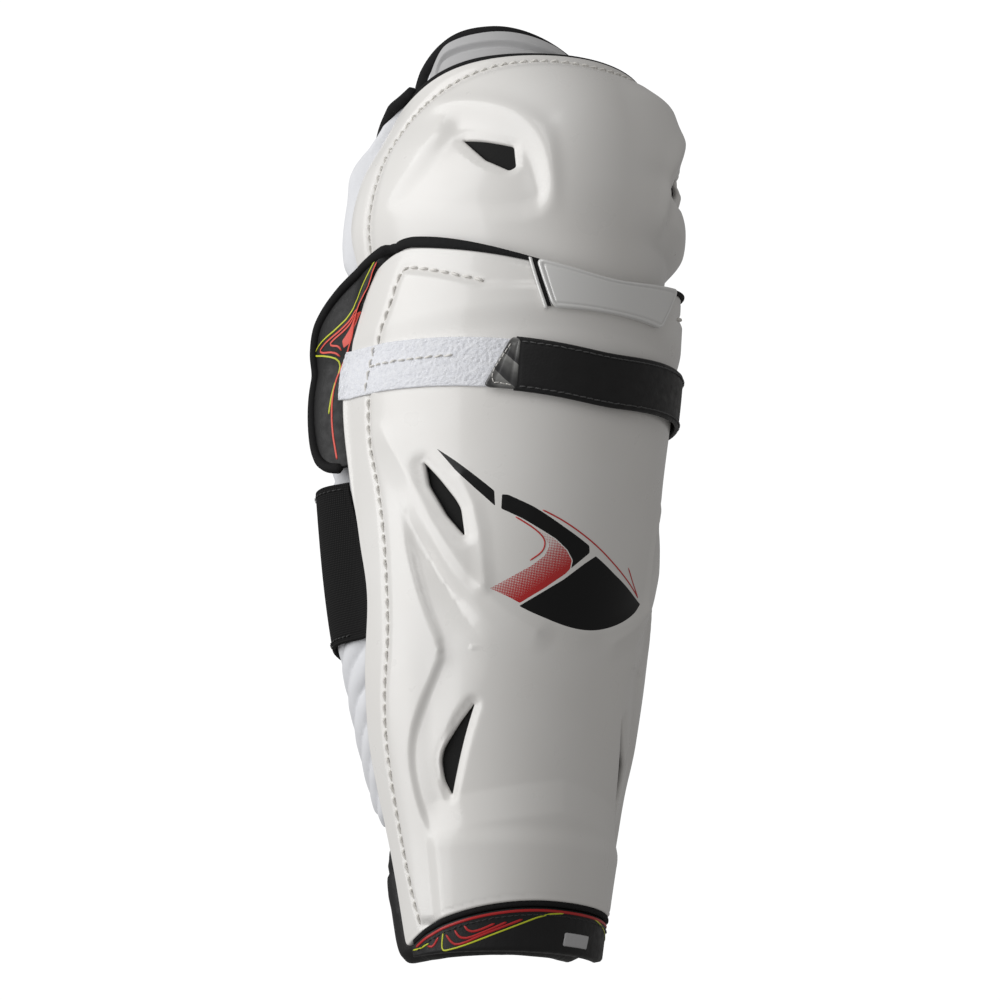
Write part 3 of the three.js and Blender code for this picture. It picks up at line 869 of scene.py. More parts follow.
def stiff_black():
    f = Finish("stiffener", (0.012, 0.012, 0.013), 0.45)
    return f.wear(3, 4, 0.38, 0.55).grain(0.6, 3, 0.4, 0.06).material


WHITE = shell_white()
BLACK_PRINT = print_black()
RED_DOTS = print_dots()
RED_PRINT = print_red()
BADGE = badge_silver()
BINDING = ribbed_black()
KNIT = knit_black()
VINYL = vinyl_black()
FABRIC = fabric_white("white_fabric", (0.80, 0.81, 0.84))
# A darker copy of the white fabric: painted shade for the thigh flap's face, which is white fabric lying in
# shade.
SHADED_WHITE_FABRIC = fabric_white("shaded_white_fabric", (0.50, 0.50, 0.505))
MESH = mesh_black()
FOAM = foam_black()
LOOP = loop_white()
HOOK = hook_black()
TAB = tab_grey()
STIFF = stiff_black()
THREAD = thread("white_thread", (0.88, 0.86, 0.82))
DARK_THREAD = thread("black_thread", (0.015, 0.015, 0.016))
STRAP_THREAD = thread("grey_thread", (0.06, 0.06, 0.062))
YELLOW = line_ink("yellow_ink", (0.62, 0.68, 0.03))
CORAL = line_ink("coral_ink", (0.85, 0.10, 0.07))
DEEP_RED = line_ink("deep_red_ink", (0.50, 0.012, 0.014))
TAG = line_ink("grey_ink", (0.55, 0.55, 0.56))


# ---------- shin shell
UPPER_VENT = [(-60, 239), (-58, 227.5), (-51, 212), (-44, 201), (-46, 214.5), (-48, 219), (-54, 229.5)]
LOWER_VENT = [
    (-39, 124.5), (-46.5, 114), (-53, 104), (-54.5, 99), (-54, 90), (-51, 83), (-47.5, 95), (-44, 107.5),
]
SHIN_STITCH = [
    (-75, 26), (-78, 36), (-81, 62), (-80.6, 94), (-78.3, 131), (-73.3, 158), (-73.7, 196), (-78, 231),
    (-81.6, 251), (-81.3, 269), (-80.4, 283), (-79, 294), (-77, 306), (-74.6, 316), (-73, 329), (-71, 335),
]
SHIN_TOP_STITCH = [(-71, 335), (-57, 328), (-42, 320)]
PANEL_TOP = [(-72, 232), (-68, 218), (-64, 195), (-58.5, 171), (-51.5, 149)]
CREASE = [(-65, 214), (-61, 203), (-56, 191), (-50.5, 180), (-45.5, 170.5), (-40, 160), (-34, 150)]
PANEL_LOW = [
    (-51.5, 149), (-56.5, 136.5), (-62, 124), (-66.5, 112), (-68.5, 100), (-68, 87), (-66.5, 77), (-63, 66),
]
RIDGE = [(-76, 262), (-70, 248), (-62, 228), (-54.5, 209), (-47, 193), (-38, 178), (-29, 166), (-17, 157)]
RIM_OF_FAN = [(-36, 176), (-23, 166.5), (-12, 161), (0, 158)]
SOFT_RIDGE = [(-46, 229), (-41.5, 216), (-38.5, 202), (-37, 189), (-36, 178)]


INNER_VENT_SHIFT = 6  # degrees by which the inner lower vent is nearer the front than the outer one


def inner_shift(angle, z):
    """The vent's shift, which its basin shares and which fades round it."""
    return INNER_VENT_SHIFT * smooth(angle, 12, 34) * (1 - smooth(z, 140, 175)) * (1 - smooth(angle, 58, 72))


def folded(left, z):
    """Plane points, with their angles and heights as flat lists."""
    p = np.stack([left * PLANE, z], -1).reshape(-1, 2)
    return p, p[:, 0] / PLANE, p[:, 1]


def shin_height(angle, z):
    """Relief of the shin shell, in millimetres. The sides are alike, but for the lower vent's shift."""
    p, left, up = folded(-np.abs(angle) - inner_shift(angle, z), z)
    stitch = to_plane(softened(SHIN_STITCH).tolist() + SHIN_TOP_STITCH[1:] + [(20, 318), (20, 20)])
    inner = signed_distance(p, turned(stitch))
    groove = -0.75 * bell(inner, 0, 1.3) * smooth(left, -35, -45)
    relief = 1.2 * smooth(-inner, 0.6, 4.5) + groove

    to_panel = line_distance(p, PANEL_TOP + PANEL_LOW[1:], 1)
    to_crease = line_distance(p, CREASE)
    in_facet = inside(p, turned(to_plane(PANEL_TOP + CREASE[::-1])))
    in_basin = inside(p, turned(to_plane(PANEL_LOW + [(-20, 60), (-20, 149)])))
    slope = to_panel / np.maximum(to_panel + to_crease, 0.01)
    spread_out = 1 - smooth(to_panel, 5, 27) * (1 - smooth(up, 150, 180))
    upper = smooth(up, 152, 182)
    floor = 1.9 * smooth(to_panel, -0.4, 3.6) * spread_out + 2.9 * slope * upper
    wall = (1 - smooth(to_crease, -2, 8)) * (to_crease < to_panel) * (1.9 * spread_out + 2.9 * upper)
    depth = np.where(in_facet | in_basin, floor, wall)
    relief = relief - depth * (1 - 0.8 * smooth(up, 192, 217)) * smooth(up, 62, 78)

    relief = relief + 1.5 * crest(line_distance(p, RIDGE), 11, 1.6) * smooth(up, 268, 250)
    relief = relief + 1.0 * crest(distance_to(p, to_plane(SOFT_RIDGE)), 6, 1.5)
    relief = relief + 0.7 * crest(line_distance(p, RIM_OF_FAN), 9, 1.6)

    relief = relief - 1.9 * (1 - smooth(away_from(p, UPPER_VENT, 2), -1, 7.5))
    front_side = smooth(left + 0.22 * (104 - up), -53, -49)
    relief = relief - mix(0.3, 2.1, front_side) * (1 - smooth(away_from(p, LOWER_VENT, 3), -1, 6))
    band_low = 76 - 0.16 * np.abs(left)
    band_high = 91 - 0.17 * np.abs(left)
    beyond = smooth(-left, 56, 66)
    cuff = (1 - ramp(up, band_low, band_high)) * (1 - beyond)
    relief = relief + 2.3 * cuff - 1.4 * (1 - beyond) * smooth(up, 60, 70) * (1 - smooth(up, 96, 190))
    relief = relief + 2.0 * smooth(up, 296, 309)
    return relief.reshape(np.shape(angle))


BLADE = [(-54.5, 243.8), (-48, 236.8), (-41.5, 229.3), (-34.6, 221.3), (-34, 214.2), (-41, 223), (-48, 232.6)]
BAR = [
    (-32, 219.5), (-30, 219.3), (-21, 213.8), (-10, 205.5), (0.4, 198.2), (0.8, 195), (-6, 186.8),
    (-5.6, 190.5), (-8, 195), (-12.5, 199.6), (-18.5, 203.8), (-24.5, 208.2), (-31.9, 212.8),
]
FAN = [
    (3.5, 194), (13, 187.6), (25, 181), (30.4, 178.4), (26.5, 172.6), (18, 165.6), (9, 160.8), (1, 159.2),
    (-7.5, 160.3), (-18.5, 164.8), (-23.8, 168), (-17, 173.8), (-8.5, 181.3), (-1, 189.6),
]
GRADIENT = [
    (-19, 203.6), (-12.7, 199.3), (-8.3, 194.8), (-6, 190.5), (-6.4, 186.4), (-8, 184), (-15, 176.9),
    (-23.6, 169.4), (-28, 172.4), (-34, 176), (-27.5, 181), (-20.5, 186.5), (-16, 191.5), (-14.6, 196.5),
]
THIN_RED = [
    [(-27, 209), (-21, 204.4), (-17.2, 200.5), (-16, 197), (-17, 193), (-21, 189)],
    [(-18, 212.5), (-10, 208), (2.5, 199.5), (13, 191.5), (28.5, 180.8)],
    [(20, 192.5), (24, 186), (28.5, 180.8)],
]


def shin_shell():
    border = shell_border(edge_to_edge(LEG), lambda a: (shell_bottom(a), shell_top(a)), 9)
    vents = [UPPER_VENT, LOWER_VENT]
    inner = [mirrored(UPPER_VENT), [(a - INNER_VENT_SHIFT, z) for a, z in mirrored(LOWER_VENT)]]
    holes = [rounded(to_plane(v), 3) for v in vents + inner]
    fan = FAN[:3] + softened(FAN[3:11]).tolist() + FAN[11:]
    prints = [rounded(to_plane(p), 0.9, 0.5) for p in (BLADE, BAR, fan, GRADIENT)]
    materials = [WHITE, BLACK_PRINT, BLACK_PRINT, BLACK_PRINT, RED_DOTS]
    shell("shin_shell_moulding", LEG, border, holes, prints, shin_height, materials,
          body="shin", slot="shell_white", replaces="shin_shell")
    ink("shin_shell_red_lines", LEG, [softened(p) for p in THIN_RED], shin_height, 0.7, RED_PRINT,
        body="shin", slot="shell_white")
    paths = [softened(SHIN_STITCH).tolist() + SHIN_TOP_STITCH[1:]]
    paths.append([(-a, z) for a, z in paths[0]])
    stitches("shin_shell_stitching", LEG, paths, shin_height, THREAD, seed=3, body="shin",
             slot="white_fabric")


# ---------- knee cap
KNEE_VENT = [(-54.5, 396.5), (-45, 382.5), (-37, 375.5), (-35, 377), (-36.6, 388), (-47, 393.4)]
KNEE_STITCH = [
    (-85, 338), (-84.5, 359), (-83.5, 375), (-83, 392), (-83, 407), (-79.5, 419), (-69, 427), (-57, 431.5),
    (-43, 434.4), (-25, 435), (-12, 434.3), (0, 433.5),
]
BROW_TOP = [(-67.5, 418), (-55, 415), (-43, 409), (-32.5, 400.5), (-26, 389.5), (-22.6, 375), (-20.5, 357)]
BROW_FOOT = [(-62.5, 405), (-48.5, 399), (-38.5, 391.5), (-31.5, 381), (-28, 366.5), (-25.5, 349)]
HOLLOW_EDGE = [
    (-26.5, 348), (-46, 350), (-65, 358), (-74, 364.5), (-77.5, 371.5), (-73.5, 379), (-68, 389),
    (-62.5, 405),
]


KNEE_INNER_BULGE = 7.5  # how far the inner front of the knee cap stands out


def knee_height(angle, z):
    """Relief of the knee cap, in millimetres. Both sides are alike, but for the inner front's bulge."""
    p, left, up = folded(-np.abs(angle), z)
    stitch = to_plane(softened(KNEE_STITCH).tolist() + [(20, 433.5), (20, 290), (-85, 290)])
    inner = signed_distance(p, turned(stitch))
    relief = 1.7 * smooth(-inner, 0.5, 6) - 0.9 * bell(inner, 1.8, 1.8)
    top = to_plane(softened(BROW_TOP))
    foot = to_plane(softened(BROW_FOOT))
    to_top = distance_to(p, top)
    to_foot = distance_to(p, foot)
    in_band = inside(p, turned(np.vstack([top, foot[::-1]])))
    in_hollow = inside(p, turned(np.vstack([foot, to_plane(HOLLOW_EDGE)])))
    fade = smooth(up, 346, 374)
    band = smooth(to_top / np.maximum(to_top + to_foot, 0.01), 0.0, 1.0)
    hollow = 1 - 0.8 * ramp(to_foot, 0, 40)
    to_rim = line_distance(p, BROW_TOP[-1:] + HOLLOW_EDGE + BROW_TOP[:1], 1)
    sunk = np.where(in_band, band, np.where(in_hollow, hollow, 0)) * smooth(to_rim, 0, 11)
    relief = relief - 4.6 * mix(0.45, 1, fade) * sunk
    relief = relief + 1.1 * bell(to_top, 0, 5) * fade * smooth(-left, 16, 24)
    relief = relief - 1.3 * (1 - smooth(away_from(p, KNEE_VENT, 2), 0, 4))
    inward = np.ravel(angle)
    bulge = smooth(inward, 4, 38) * (1 - smooth(inward, 56, 90)) * smooth(up, 346, 364)
    bulge = bulge * (1 - smooth(up, 418, 436)) * (1 - 0.45 * bell(up, 380, 6))
    return (relief + KNEE_INNER_BULGE * bulge).reshape(np.shape(angle))


def knee_shell():
    border = shell_border(edge_to_edge(KNEE), lambda a: (knee_bottom(a), knee_top(a)), 10)
    holes = [rounded(to_plane(v), 2) for v in (KNEE_VENT, mirrored(KNEE_VENT))]
    shell("knee_cap_moulding", KNEE, border, holes, [], knee_height, [WHITE],
          body="knee", slot="shell_white", replaces="knee_shell")
    path = KNEE_STITCH + mirrored(KNEE_STITCH[:-1])
    stitches("knee_cap_stitching", KNEE, [softened(path)], knee_height, THREAD, pitch=5.0, radius=0.5,
             body="knee", slot="white_fabric", seed=5)


# ---------- padded and sewn pieces
def coordinates(mesh, field="vertices"):
    found = np.empty(len(mesh.vertices) * 3)
    if field == "vertices":
        mesh.vertices.foreach_get("co", found)
    else:
        mesh.vertex_normals.foreach_get("vector", found)
    return found.reshape(-1, 3)


def baked(piece):
    """Leaves the piece with its modifiers applied."""
    graph = bpy.context.evaluated_depsgraph_get()
    mesh = bpy.data.meshes.new_from_object(piece.evaluated_get(graph))
    piece.modifiers.clear()
    piece.data = mesh


def stuffed(piece, cap, voxel):
    """Fills a pad: its skin is cloth under pressure, and no point swells by more than cap millimetres."""
    skin = piece.modifiers.new("skin", "REMESH")
    skin.mode = "VOXEL"
    skin.voxel_size = voxel * MM
    baked(piece)
    scene = bpy.context.scene
    rest = coordinates(piece.data)
    cloth = piece.modifiers.new("filling", "CLOTH").settings
    cloth.quality = 4
    cloth.use_pressure = True
    cloth.uniform_pressure_force = 4
    cloth.effector_weights.gravity = 0
    for number in range(1, 21):
        scene.frame_set(number)
    graph = bpy.context.evaluated_depsgraph_get()
    moved = coordinates(piece.evaluated_get(graph).data) - rest
    piece.modifiers.clear()
    scene.frame_set(1)
    size = np.linalg.norm(moved, axis=1, keepdims=True)
    swollen = rest + moved * (cap * MM / (cap * MM + size))
    piece.data.vertices.foreach_set("co", swollen.ravel())
    piece.data.update()
    finer = piece.modifiers.new("finer", "SUBSURF")
    finer.levels = 2 if voxel > 4 else 1
    baked(piece)


def soft_pad(name, surface, angles, heights, depths, cells, material, body, fill, cap=2.5, voxel=4.5,
             relief=None, **rest):
    """A pad of filled fabric; relief(angle, z, outward) then moves its skin along its normals."""
    shape = {k: rest.pop(k) for k in ("rim", "corner") if k in rest}
    piece = pad(name, surface, angles, heights, depths, cells, material, body=None, **shape, **rest)
    stuffed(piece, cap, voxel)
    mesh = piece.data
    points = coordinates(mesh) / (GRADE * MM) + (0, 0, LOWER_EDGE)
    normals = coordinates(mesh, "normals")
    angle = surface.angle_of(points)
    if relief:
        outward = (normals * surface.normal(angle, points[:, 2])).sum(-1)
        points = points + normals * relief(angle, points[:, 2], outward)[:, None]
        mesh.vertices.foreach_set("co", place(points).ravel())
    if not mesh.materials:
        mesh.materials.append(material)
    cloth = mesh.attributes.get("flat") or mesh.attributes.new("flat", "FLOAT_VECTOR", "POINT")
    cloth.data.foreach_set("vector", flatten(points).astype(np.float32).ravel())
    mesh.polygons.foreach_set("use_smooth", np.ones(len(mesh.polygons), bool))
    mesh.update()
    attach(piece, body)
    return piece


def edge_line(angles, heights, side, radius):
    """The open outline of a slab from its near top corner round its far edge to the near bottom corner."""
    near, far = (1.0, 0.0) if side < 0 else (0.0, 1.0)
    t = np.linspace(0, 1, 80)
    one = np.ones(80)
    parts = []
    for u, v in ((mix(near, far, t), one), (far * one, 1 - t), (mix(far, near, t), 0 * one)):
        parts.append(np.stack(slab_point(angles, heights, u, v), -1) * (PLANE, 1))
    return rounded(np.vstack(parts), radius, 1.0, closed=False) / (PLANE, 1)


def piping(name, surface, path, height, radius, material, **rest):
    """Round cord in its tape along an (angle, z) path."""
    line = on_surface(surface, path, height, 0.0, 1.6)
    return tubes(name, [line], radius, material, sides=10, **rest)


INK_LIFT = 0.12


def ink(name, surface, paths, height, width, material, **rest):
    """Printed lines that stand a hair above the surface."""
    lines = [on_surface(surface, path, height, INK_LIFT, 1.2) for path in paths]
    return tubes(name, lines, width / 2, material, squash=0.3, **rest)


# ---------- shin trims
QUILT = 34  # millimetres between the liner's seams, measured along the leg


def quilt(angle, z, outward):
    """Crossed seams, on the side that faces the leg."""
    x = angle * PLANE
    first, second = (smooth(np.abs(np.sin(np.pi * t / QUILT)), 0, 0.5) for t in (x + z, x - z))
    return 1.1 * (np.minimum(first, second) - 1) * smooth(-outward, 0.1, 0.6)


def ankle_depths(angle, z):
    """The ankle padding is thickest at its lower edge, and swells out behind the shell."""
    swell = 3.2 * smooth(LEG.behind(angle, z), 0, 7) * (1 - 0.7 * smooth(z, 46, 72))
    return 4.2 - swell, 10.4 + 9 * (1 - smooth(z, 22, 58)) - swell


def shin_trims():
    group = {"body": "shin"}
    taper = lambda a: mix(1.2, mix(2.2, 5.0, smooth(-a, -10, 10)), smooth(np.abs(a), 18, 64))
    pad("shell_top_tape", LEG, level(-76, 76), lambda a: (shell_top(a) - 0.4, shell_top(a) + taper(a)),
        lifted(-0.5, 3.1, lambda a, z: seat(a, 330.0)), (150, 8), BINDING, rim=1.4, slot="black_knit",
        replaces="shell_top_binding", **group)
    pad("shell_bottom_tape", LEG, level(-83, 83), lambda a: (shell_bottom(a) - 2.6, shell_bottom(a) + 0.5),
        lifted(-0.35, 3.0, lambda a, z: low_seat(a)), (150, 8), BINDING, rim=1.3, slot="black_knit",
        replaces="shell_bottom_binding", **group)

    left = lambda z, shift: -20.0 - 0.39 * (z - 305.5) + shift
    right = lambda z: 21.0 + 0.62 * (z - 305.5)
    tall = lambda low, high: (lambda a: (low + 0 * a, shell_top(a) + high))
    groove = lambda a, z, gap: -0.5 * smooth(gap, 1.4, 2.2) * (1 - smooth(gap, 2.2, 3.0))
    pad("badge_plate", LEG, lambda z: (left(z, 0), right(z)), tall(305.6, 1.2), on_shell(0.0, 2.7), (140, 50),
        BADGE, rim=1.0, corner=3, relief=groove, slot="badge_silver", replaces="front_badge", **group)
    pad("badge_slit", LEG, lambda z: (left(z, -1.6), left(z, -0.1)), tall(306.5, 0.6), on_shell(-0.2, 1.0),
        (4, 30), BLACK_PRINT, rim=0.3, slot="stiffener_black", **group)
    pad("badge_lip", LEG, lambda z: (left(z, -2.7), left(z, -1.5)), tall(305, 0.9), on_shell(0.0, 2.0),
        (6, 30), BADGE, rim=0.7, corner=0.7, slot="badge_silver", **group)

    upswept = lambda low, high: (lambda a: (low + 0 * a, high + 16 * (a / 90) ** 2))
    pad("impact_foam", LEG, edge_to_edge(LEG, -15), upswept(68, 278), (3.9, 8.8), (110, 110), FOAM, rim=2,
        slot="foam_grey", replaces="shin_foam", **group)
    soft_pad("quilted_liner", LEG, edge_to_edge(LEG, -4), upswept(71, 275), (10.2, 14.8), (80, 80), MESH,
             fill=0.5, cap=1.6, voxel=4, relief=quilt, slot="black_knit", replaces="shin_liner", **group)
    reach = lambda z: 19 - 8 * smooth(z, 30, 68)
    soft_pad("ankle_padding", LEG, lambda z: (LEG.edge(z, -1, reach(z)), LEG.edge(z, 1, reach(z))),
             lambda a: (9.6 + 16 * smooth(a, 34, 90), 68 + 0 * a), ankle_depths, (110, 30), VINYL, fill=0.55,
             cap=1.2, voxel=4, corner=8, relief=lambda a, z, outward: -1.0 * bell(z, 54, 1.6),
             slot="black_vinyl", replaces="ankle_pad", **group)
    for side, name in SIDES:
        edge = lambda z: ordered(side, LEG.edge(z, side, -12), LEG.edge(z, side, -1.5))
        pad(f"{name}_edge_elastic", LEG, edge, level(72, 290), (3.5, 4.9), (10, 120), KNIT, rim=0.6,
            slot="black_knit", replaces=f"{name}_anchor_band", **group)

    random = np.random.default_rng(8)
    rough = lambda a, z, gap: random.uniform(-0.35, 0.35, a.shape)
    pad("loop_strip", LEG, lambda z: (LEG.edge(z, -1, 1.5), 2 + 0 * z), strap_band(LOOP_WIDTH),
        on_shell(0.05, 1.2), (300, 44), LOOP, rim=0.8, relief=rough, slot="loop_pile",
        replaces="upper_loop_strip", **group)
    seams = [softened([(-80, 291), (-66, 288.6), (-49, 286)]), [(-81.2, 279), (-79.8, 289), (-78.2, 300)]]
    stitches("loop_strip_stitching", LEG, seams, lambda a, z: seat(a, z) + 1.0, THREAD, pitch=5.4,
             radius=0.52, seed=11, slot="white_fabric", **group)
    pad("loop_patch", LEG, lambda z: (LOWER_STRAP_END + 0 * z, LEG.edge(z, 1, -2)), lower_band(8),
        on_shell(0.05, 1.2), (40, 70), LOOP, rim=0.8, relief=rough, slot="loop_pile",
        replaces="lower_loop_patch", **group)


CUFF_RED = [
    [(-57, 20.5), (-53.5, 16.0), (-48.5, 15.9), (-38, 19.6), (-28, 23), (-17, 27)],
    [(-52, 22.3), (-49.6, 18.8), (-44.5, 18.4), (-34, 22), (-25, 25.6)],
    [(-46.8, 24.2), (-44.4, 21.4), (-39.6, 21.6), (-31, 24.9)],
    [(-70, 16.2), (-66.5, 15.5), (-62, 19.6)],
]
CUFF_YELLOW = [
    [(-58.6, 21.8), (-60.2, 15.4), (-59.6, 13.5), (-57.6, 13.4), (-49, 14.8), (-39, 17.6), (-22, 23.4),
     (-5, 29.8), (6, 31)],
    [(-83, 15.4), (-76, 15.6), (-69, 17.4)],
    [(28, 31.4), (44, 28.6), (60, 24.5)],
]


def ankle_cuff():
    group = {"body": "shin", "slot": "black_vinyl"}
    face = lambda a, z: 0.75 * low_seat(a) + 0.3
    rise = lambda a: 7 * smooth(a, 44, 84)
    tall = lambda a: (12.3 + rise(a), np.maximum(shell_bottom(a) - 2.2, 15.6 + rise(a)))
    pad("cuff", LEG, level(-85, 85), tall, lambda a, z: (-face(a, z), 3.4 + 0 * a), (150, 16), VINYL, rim=1.5,
        replaces="ankle_cuff", **group)
    below = lambda gap, angles: [(a, shell_bottom(a) - gap) for a in angles]
    ink("cuff_red_line", LEG, [below(4.4, np.linspace(-80, 56, 40))], face, 1.3, DEEP_RED, **group)
    ink("cuff_red_zigzags", LEG, [softened(path, 1) for path in CUFF_RED], face, 1.1, DEEP_RED, **group)
    ink("cuff_yellow_lines", LEG, [softened(path, 1) for path in CUFF_YELLOW], face, 0.75, YELLOW, **group)
    pad("cuff_tag", LEG, lambda z: (7.6 + 0.1 * (z - 19), 26.5 + 0.16 * (z - 19)), level(16.4, 22.6),
        lifted(-0.3, 0.1, face), (14, 8), TAG, rim=0.2, corner=0.8, **group)
    stitches("cuff_stitching", LEG, [below(6.4, np.linspace(-80, 80, 50))], face, DARK_THREAD, pitch=2.9,
             radius=0.24, seed=17, **group)


# ---------- knee and thigh
def knee_trims():
    group = {"body": "knee"}
    taper = lambda a: mix(1.2, 2.6, smooth(np.abs(a), 20, 60))
    tall = lambda low, high: (lambda a: (knee_bottom(a) + low, knee_top(a) - high))
    pad("knee_top_tape", KNEE, level(-87, 87), lambda a: (knee_top(a) - 0.5, knee_top(a) + taper(a)),
        (0.1, 3.1), (140, 8), BINDING, rim=1.3, slot="black_knit", replaces="knee_top_binding", **group)
    pad("knee_impact_foam", KNEE, edge_to_edge(KNEE, -8), tall(8, 16), (5.4, 8.8), (90, 60), FOAM, rim=1.6,
        slot="foam_grey", replaces="knee_foam", **group)
    ribs = lambda a, z, gap: 0.9 * np.abs(np.sin(np.pi * (z + 0.25 * np.abs(a)) / 16)) ** 0.6
    liner = pad("knee_lining", KNEE, edge_to_edge(KNEE, -8), tall(10, 24), (9.8, 12.6), (110, 90), MESH,
                rim=1.2, inner_relief=ribs, slot="black_knit", replaces="knee_liner", **group)
    knee_ring()
    for side, name in SIDES:
        knee_wrap(side, name)


def knee_wrap(side, name):
    """The soft flap that widens the knee cap behind its rear edge, with its tape."""
    def depths(angle, z):
        clear = np.maximum(KNEE.behind(angle, z), z - knee_top(angle) + 1)
        out = 5.2 + 3.1 * smooth(z, 346, 358) + 3.7 * bell(z, 402, 10)
        out = out * smooth(clear, -1, 10)
        return 3.9 - out, 9.8 - 2.2 * smooth(z, 408, 424) - out

    near = lambda z: KNEE.edge(z, side, -6 - 9 * smooth(z, 404, 430))
    span = lambda z: ordered(side, near(z), KNEE.edge(z, side, 15))
    crown = lambda a: 438.5 - 0.55 * np.maximum(np.abs(a) - 80, 0)
    foot = lambda a: 345 - 0.8 * np.maximum(np.abs(a) - 95, 0)
    soft_pad(f"knee_{name}_wrap", KNEE, span, lambda a: (foot(a), crown(a)), depths, (34, 100), FABRIC,
             body="knee", fill=0.5, cap=0.8, voxel=2.1, corner=8, corner_side=side, slot="white_fabric",
             replaces=f"knee_{name}_flap")
    edge = edge_line(span, lambda a: (foot(a), crown(a) + 0.6), side, 9)
    thick = lambda share: mix(2.9, 0.9, smooth(share, 0.3, 0.95))
    piping(f"knee_{name}_wrap_edge", KNEE, edge[:len(edge) // 2], lambda a, z: -depths(a, z)[0] - 1.2, thick,
           BINDING, body="knee", slot="black_knit")


def knee_ring():
    """The ring pad round the knee cap's hollow."""
    turns, rows = 120, 26
    t = np.linspace(0, 2 * np.pi, turns, endpoint=False)
    hole = np.stack([18 * np.cos(t), 374 + 20 * np.sin(t)], -1)
    square = np.maximum(np.abs(np.cos(t)), np.abs(np.sin(t))) ** 0.72
    outer = np.stack([37.5 * np.cos(t) / square, 374 + 37.5 * np.sin(t) / square], -1)
    points = []
    for k in range(rows):
        turn = 2 * np.pi * k / rows
        share = 0.5 - 0.5 * np.sign(np.cos(turn)) * np.abs(np.cos(turn)) ** 0.55
        up = np.sign(np.sin(turn)) * np.abs(np.sin(turn)) ** 0.6
        line = mix(hole, outer, share)
        points.append(KNEE.at(line[:, 0], line[:, 1], 17.6 + 3.1 * up))
    faces = []
    for k in range(rows):
        for i in range(turns):
            j = (i + 1) % turns
            m = (k + 1) % rows
            faces.append((k * turns + i, m * turns + i, m * turns + j, k * turns + j))
    ring = make("knee_cushion_ring", np.vstack(points), faces, FABRIC, "knee", "foam_grey", "knee_ring_pad")


def thigh_line(angle):
    """Height of the middle of the binding that runs over the thigh flap."""
    t = (angle + 46) / 50
    return 464 - np.where(t < 0, 22 * np.abs(t) ** 3, 19 * t**2)


def thigh_flap():
    body = "thigh_guard"
    low = lambda a: 10 * (a / 100) ** 2 + 8 * smooth(-a, 74, 94)
    tall = lambda bottom, gap: (lambda a: (bottom + low(a), thigh_line(a) - gap))
    soft_pad("thigh_padding", THIGH, level(-95.5, 7), tall(416, 0.6), (2.6, 7.4), (110, 36), FABRIC,
             body=body, fill=0.5, cap=1.0, voxel=4, slot="white_fabric", replaces="thigh_pad")

    def ridges(angle, z, gap):
        """Ridges 9 mm apart that follow the flap's edge and end before its corner."""
        wave = smooth(np.abs(np.sin(np.pi * np.minimum(gap + 1.2, 27.0) / 9.0)), 0.15, 0.8)
        return smooth(z, 430, 438) * smooth(angle, -86, -66) * (3.2 * wave)

    # The face takes the darker copy of the white fabric, which paints the shade it lies in.
    pad("thigh_face", THIGH, level(-83, 2), tall(424, 4), (0.2, 2.2), (240, 130), SHADED_WHITE_FABRIC, rim=1.4,
        corner=14, relief=ridges, body=body, slot="white_fabric", replaces="thigh_insert")
    lining = pad("thigh_lining", THIGH, level(-95, 5), tall(416, 1), (8.2, 10.8), (100, 36), MESH, rim=1.1,
                 body=body, slot="black_knit", replaces="thigh_liner")
    line = [(-96.8, 431), (-97, 436)] + [(a, thigh_line(a)) for a in np.linspace(-95.8, 8, 90)]
    thick = lambda share: mix(4.3, 1.9, smooth(share, 0.12, 0.75))
    piping("thigh_edge_binding", THIGH, softened(line, 1), lambda a, z: -3.4 + 0 * a, thick, BINDING,
           body=body, slot="black_knit", replaces="thigh_binding")


# ---------- calf wings
WING_HINGE = 31
WING_OUTLINE = [
    (-72, 341), (-74.5, 345.6), (-79, 347), (-95, 340), (-104.5, 329.5), (-111, 316), (-114.5, 299),
    (-113.6, 275), (-110.8, 258), (-104.5, 250), (-97, 248),
]
WING_YELLOW = [
    [(-83.4, 343.2), (-85.6, 338.4), (-88, 332.4), (-89.6, 325.2), (-96.4, 317.2), (-111.8, 308.6),
     (-112, 307.2), (-103, 304.6), (-98, 302), (-97, 297.5), (-99.2, 287.7), (-100.8, 276)],
]
WING_CORAL = [
    [(-82.4, 341.6), (-84.6, 336.4), (-87.3, 326.4), (-89.6, 315), (-93.4, 305.6), (-97.6, 296), (-99.3, 285),
     (-99.6, 268), (-98.6, 253)],
    [(-88.4, 322), (-95, 316), (-107, 308.8), (-107, 306.9), (-99.6, 305.6), (-97.2, 303)],
    [(-89, 319.8), (-94, 315), (-101.6, 310.2), (-101.4, 308.8), (-97.6, 307.8), (-96.6, 305.4)],
]
WING_FILL = [
    (-87.6, 321), (-89, 315.5), (-91.6, 308.6), (-95.6, 306.4), (-96.2, 309.8), (-92.6, 314.2),
    (-89.6, 318.6),
]


def wing_rise(angle, z):
    """How far the wing's layers rise towards its upper edge."""
    return 6.5 * smooth(z, 298, 322)


def wing_face(angle, z):
    """Height of the wing's skin, which is tucked under the shell at the shell's rear edge."""
    tucked = -3.15 + 2.0 * smooth(z, 296, 309)
    return tucked + smooth(LEG.behind(angle, z), 0.2, 3.6) * (0.6 + 4.5 * smooth(z, 298, 322))


def wing_cord_height(angle, z):
    return np.maximum(wing_face(angle, z), 1.3 - 5 * (1 - smooth(z, 312, 328)))


def calf_ribs(angle, z, outward):
    """Slanting ribs on both faces of the calf padding."""
    wave = np.sin(np.pi * (z + 0.62 * np.abs(angle) * PLANE) / 15)
    return (2.6 * np.abs(wave) ** 0.6 - 1.9) * smooth(np.abs(outward), 0.3, 0.8)


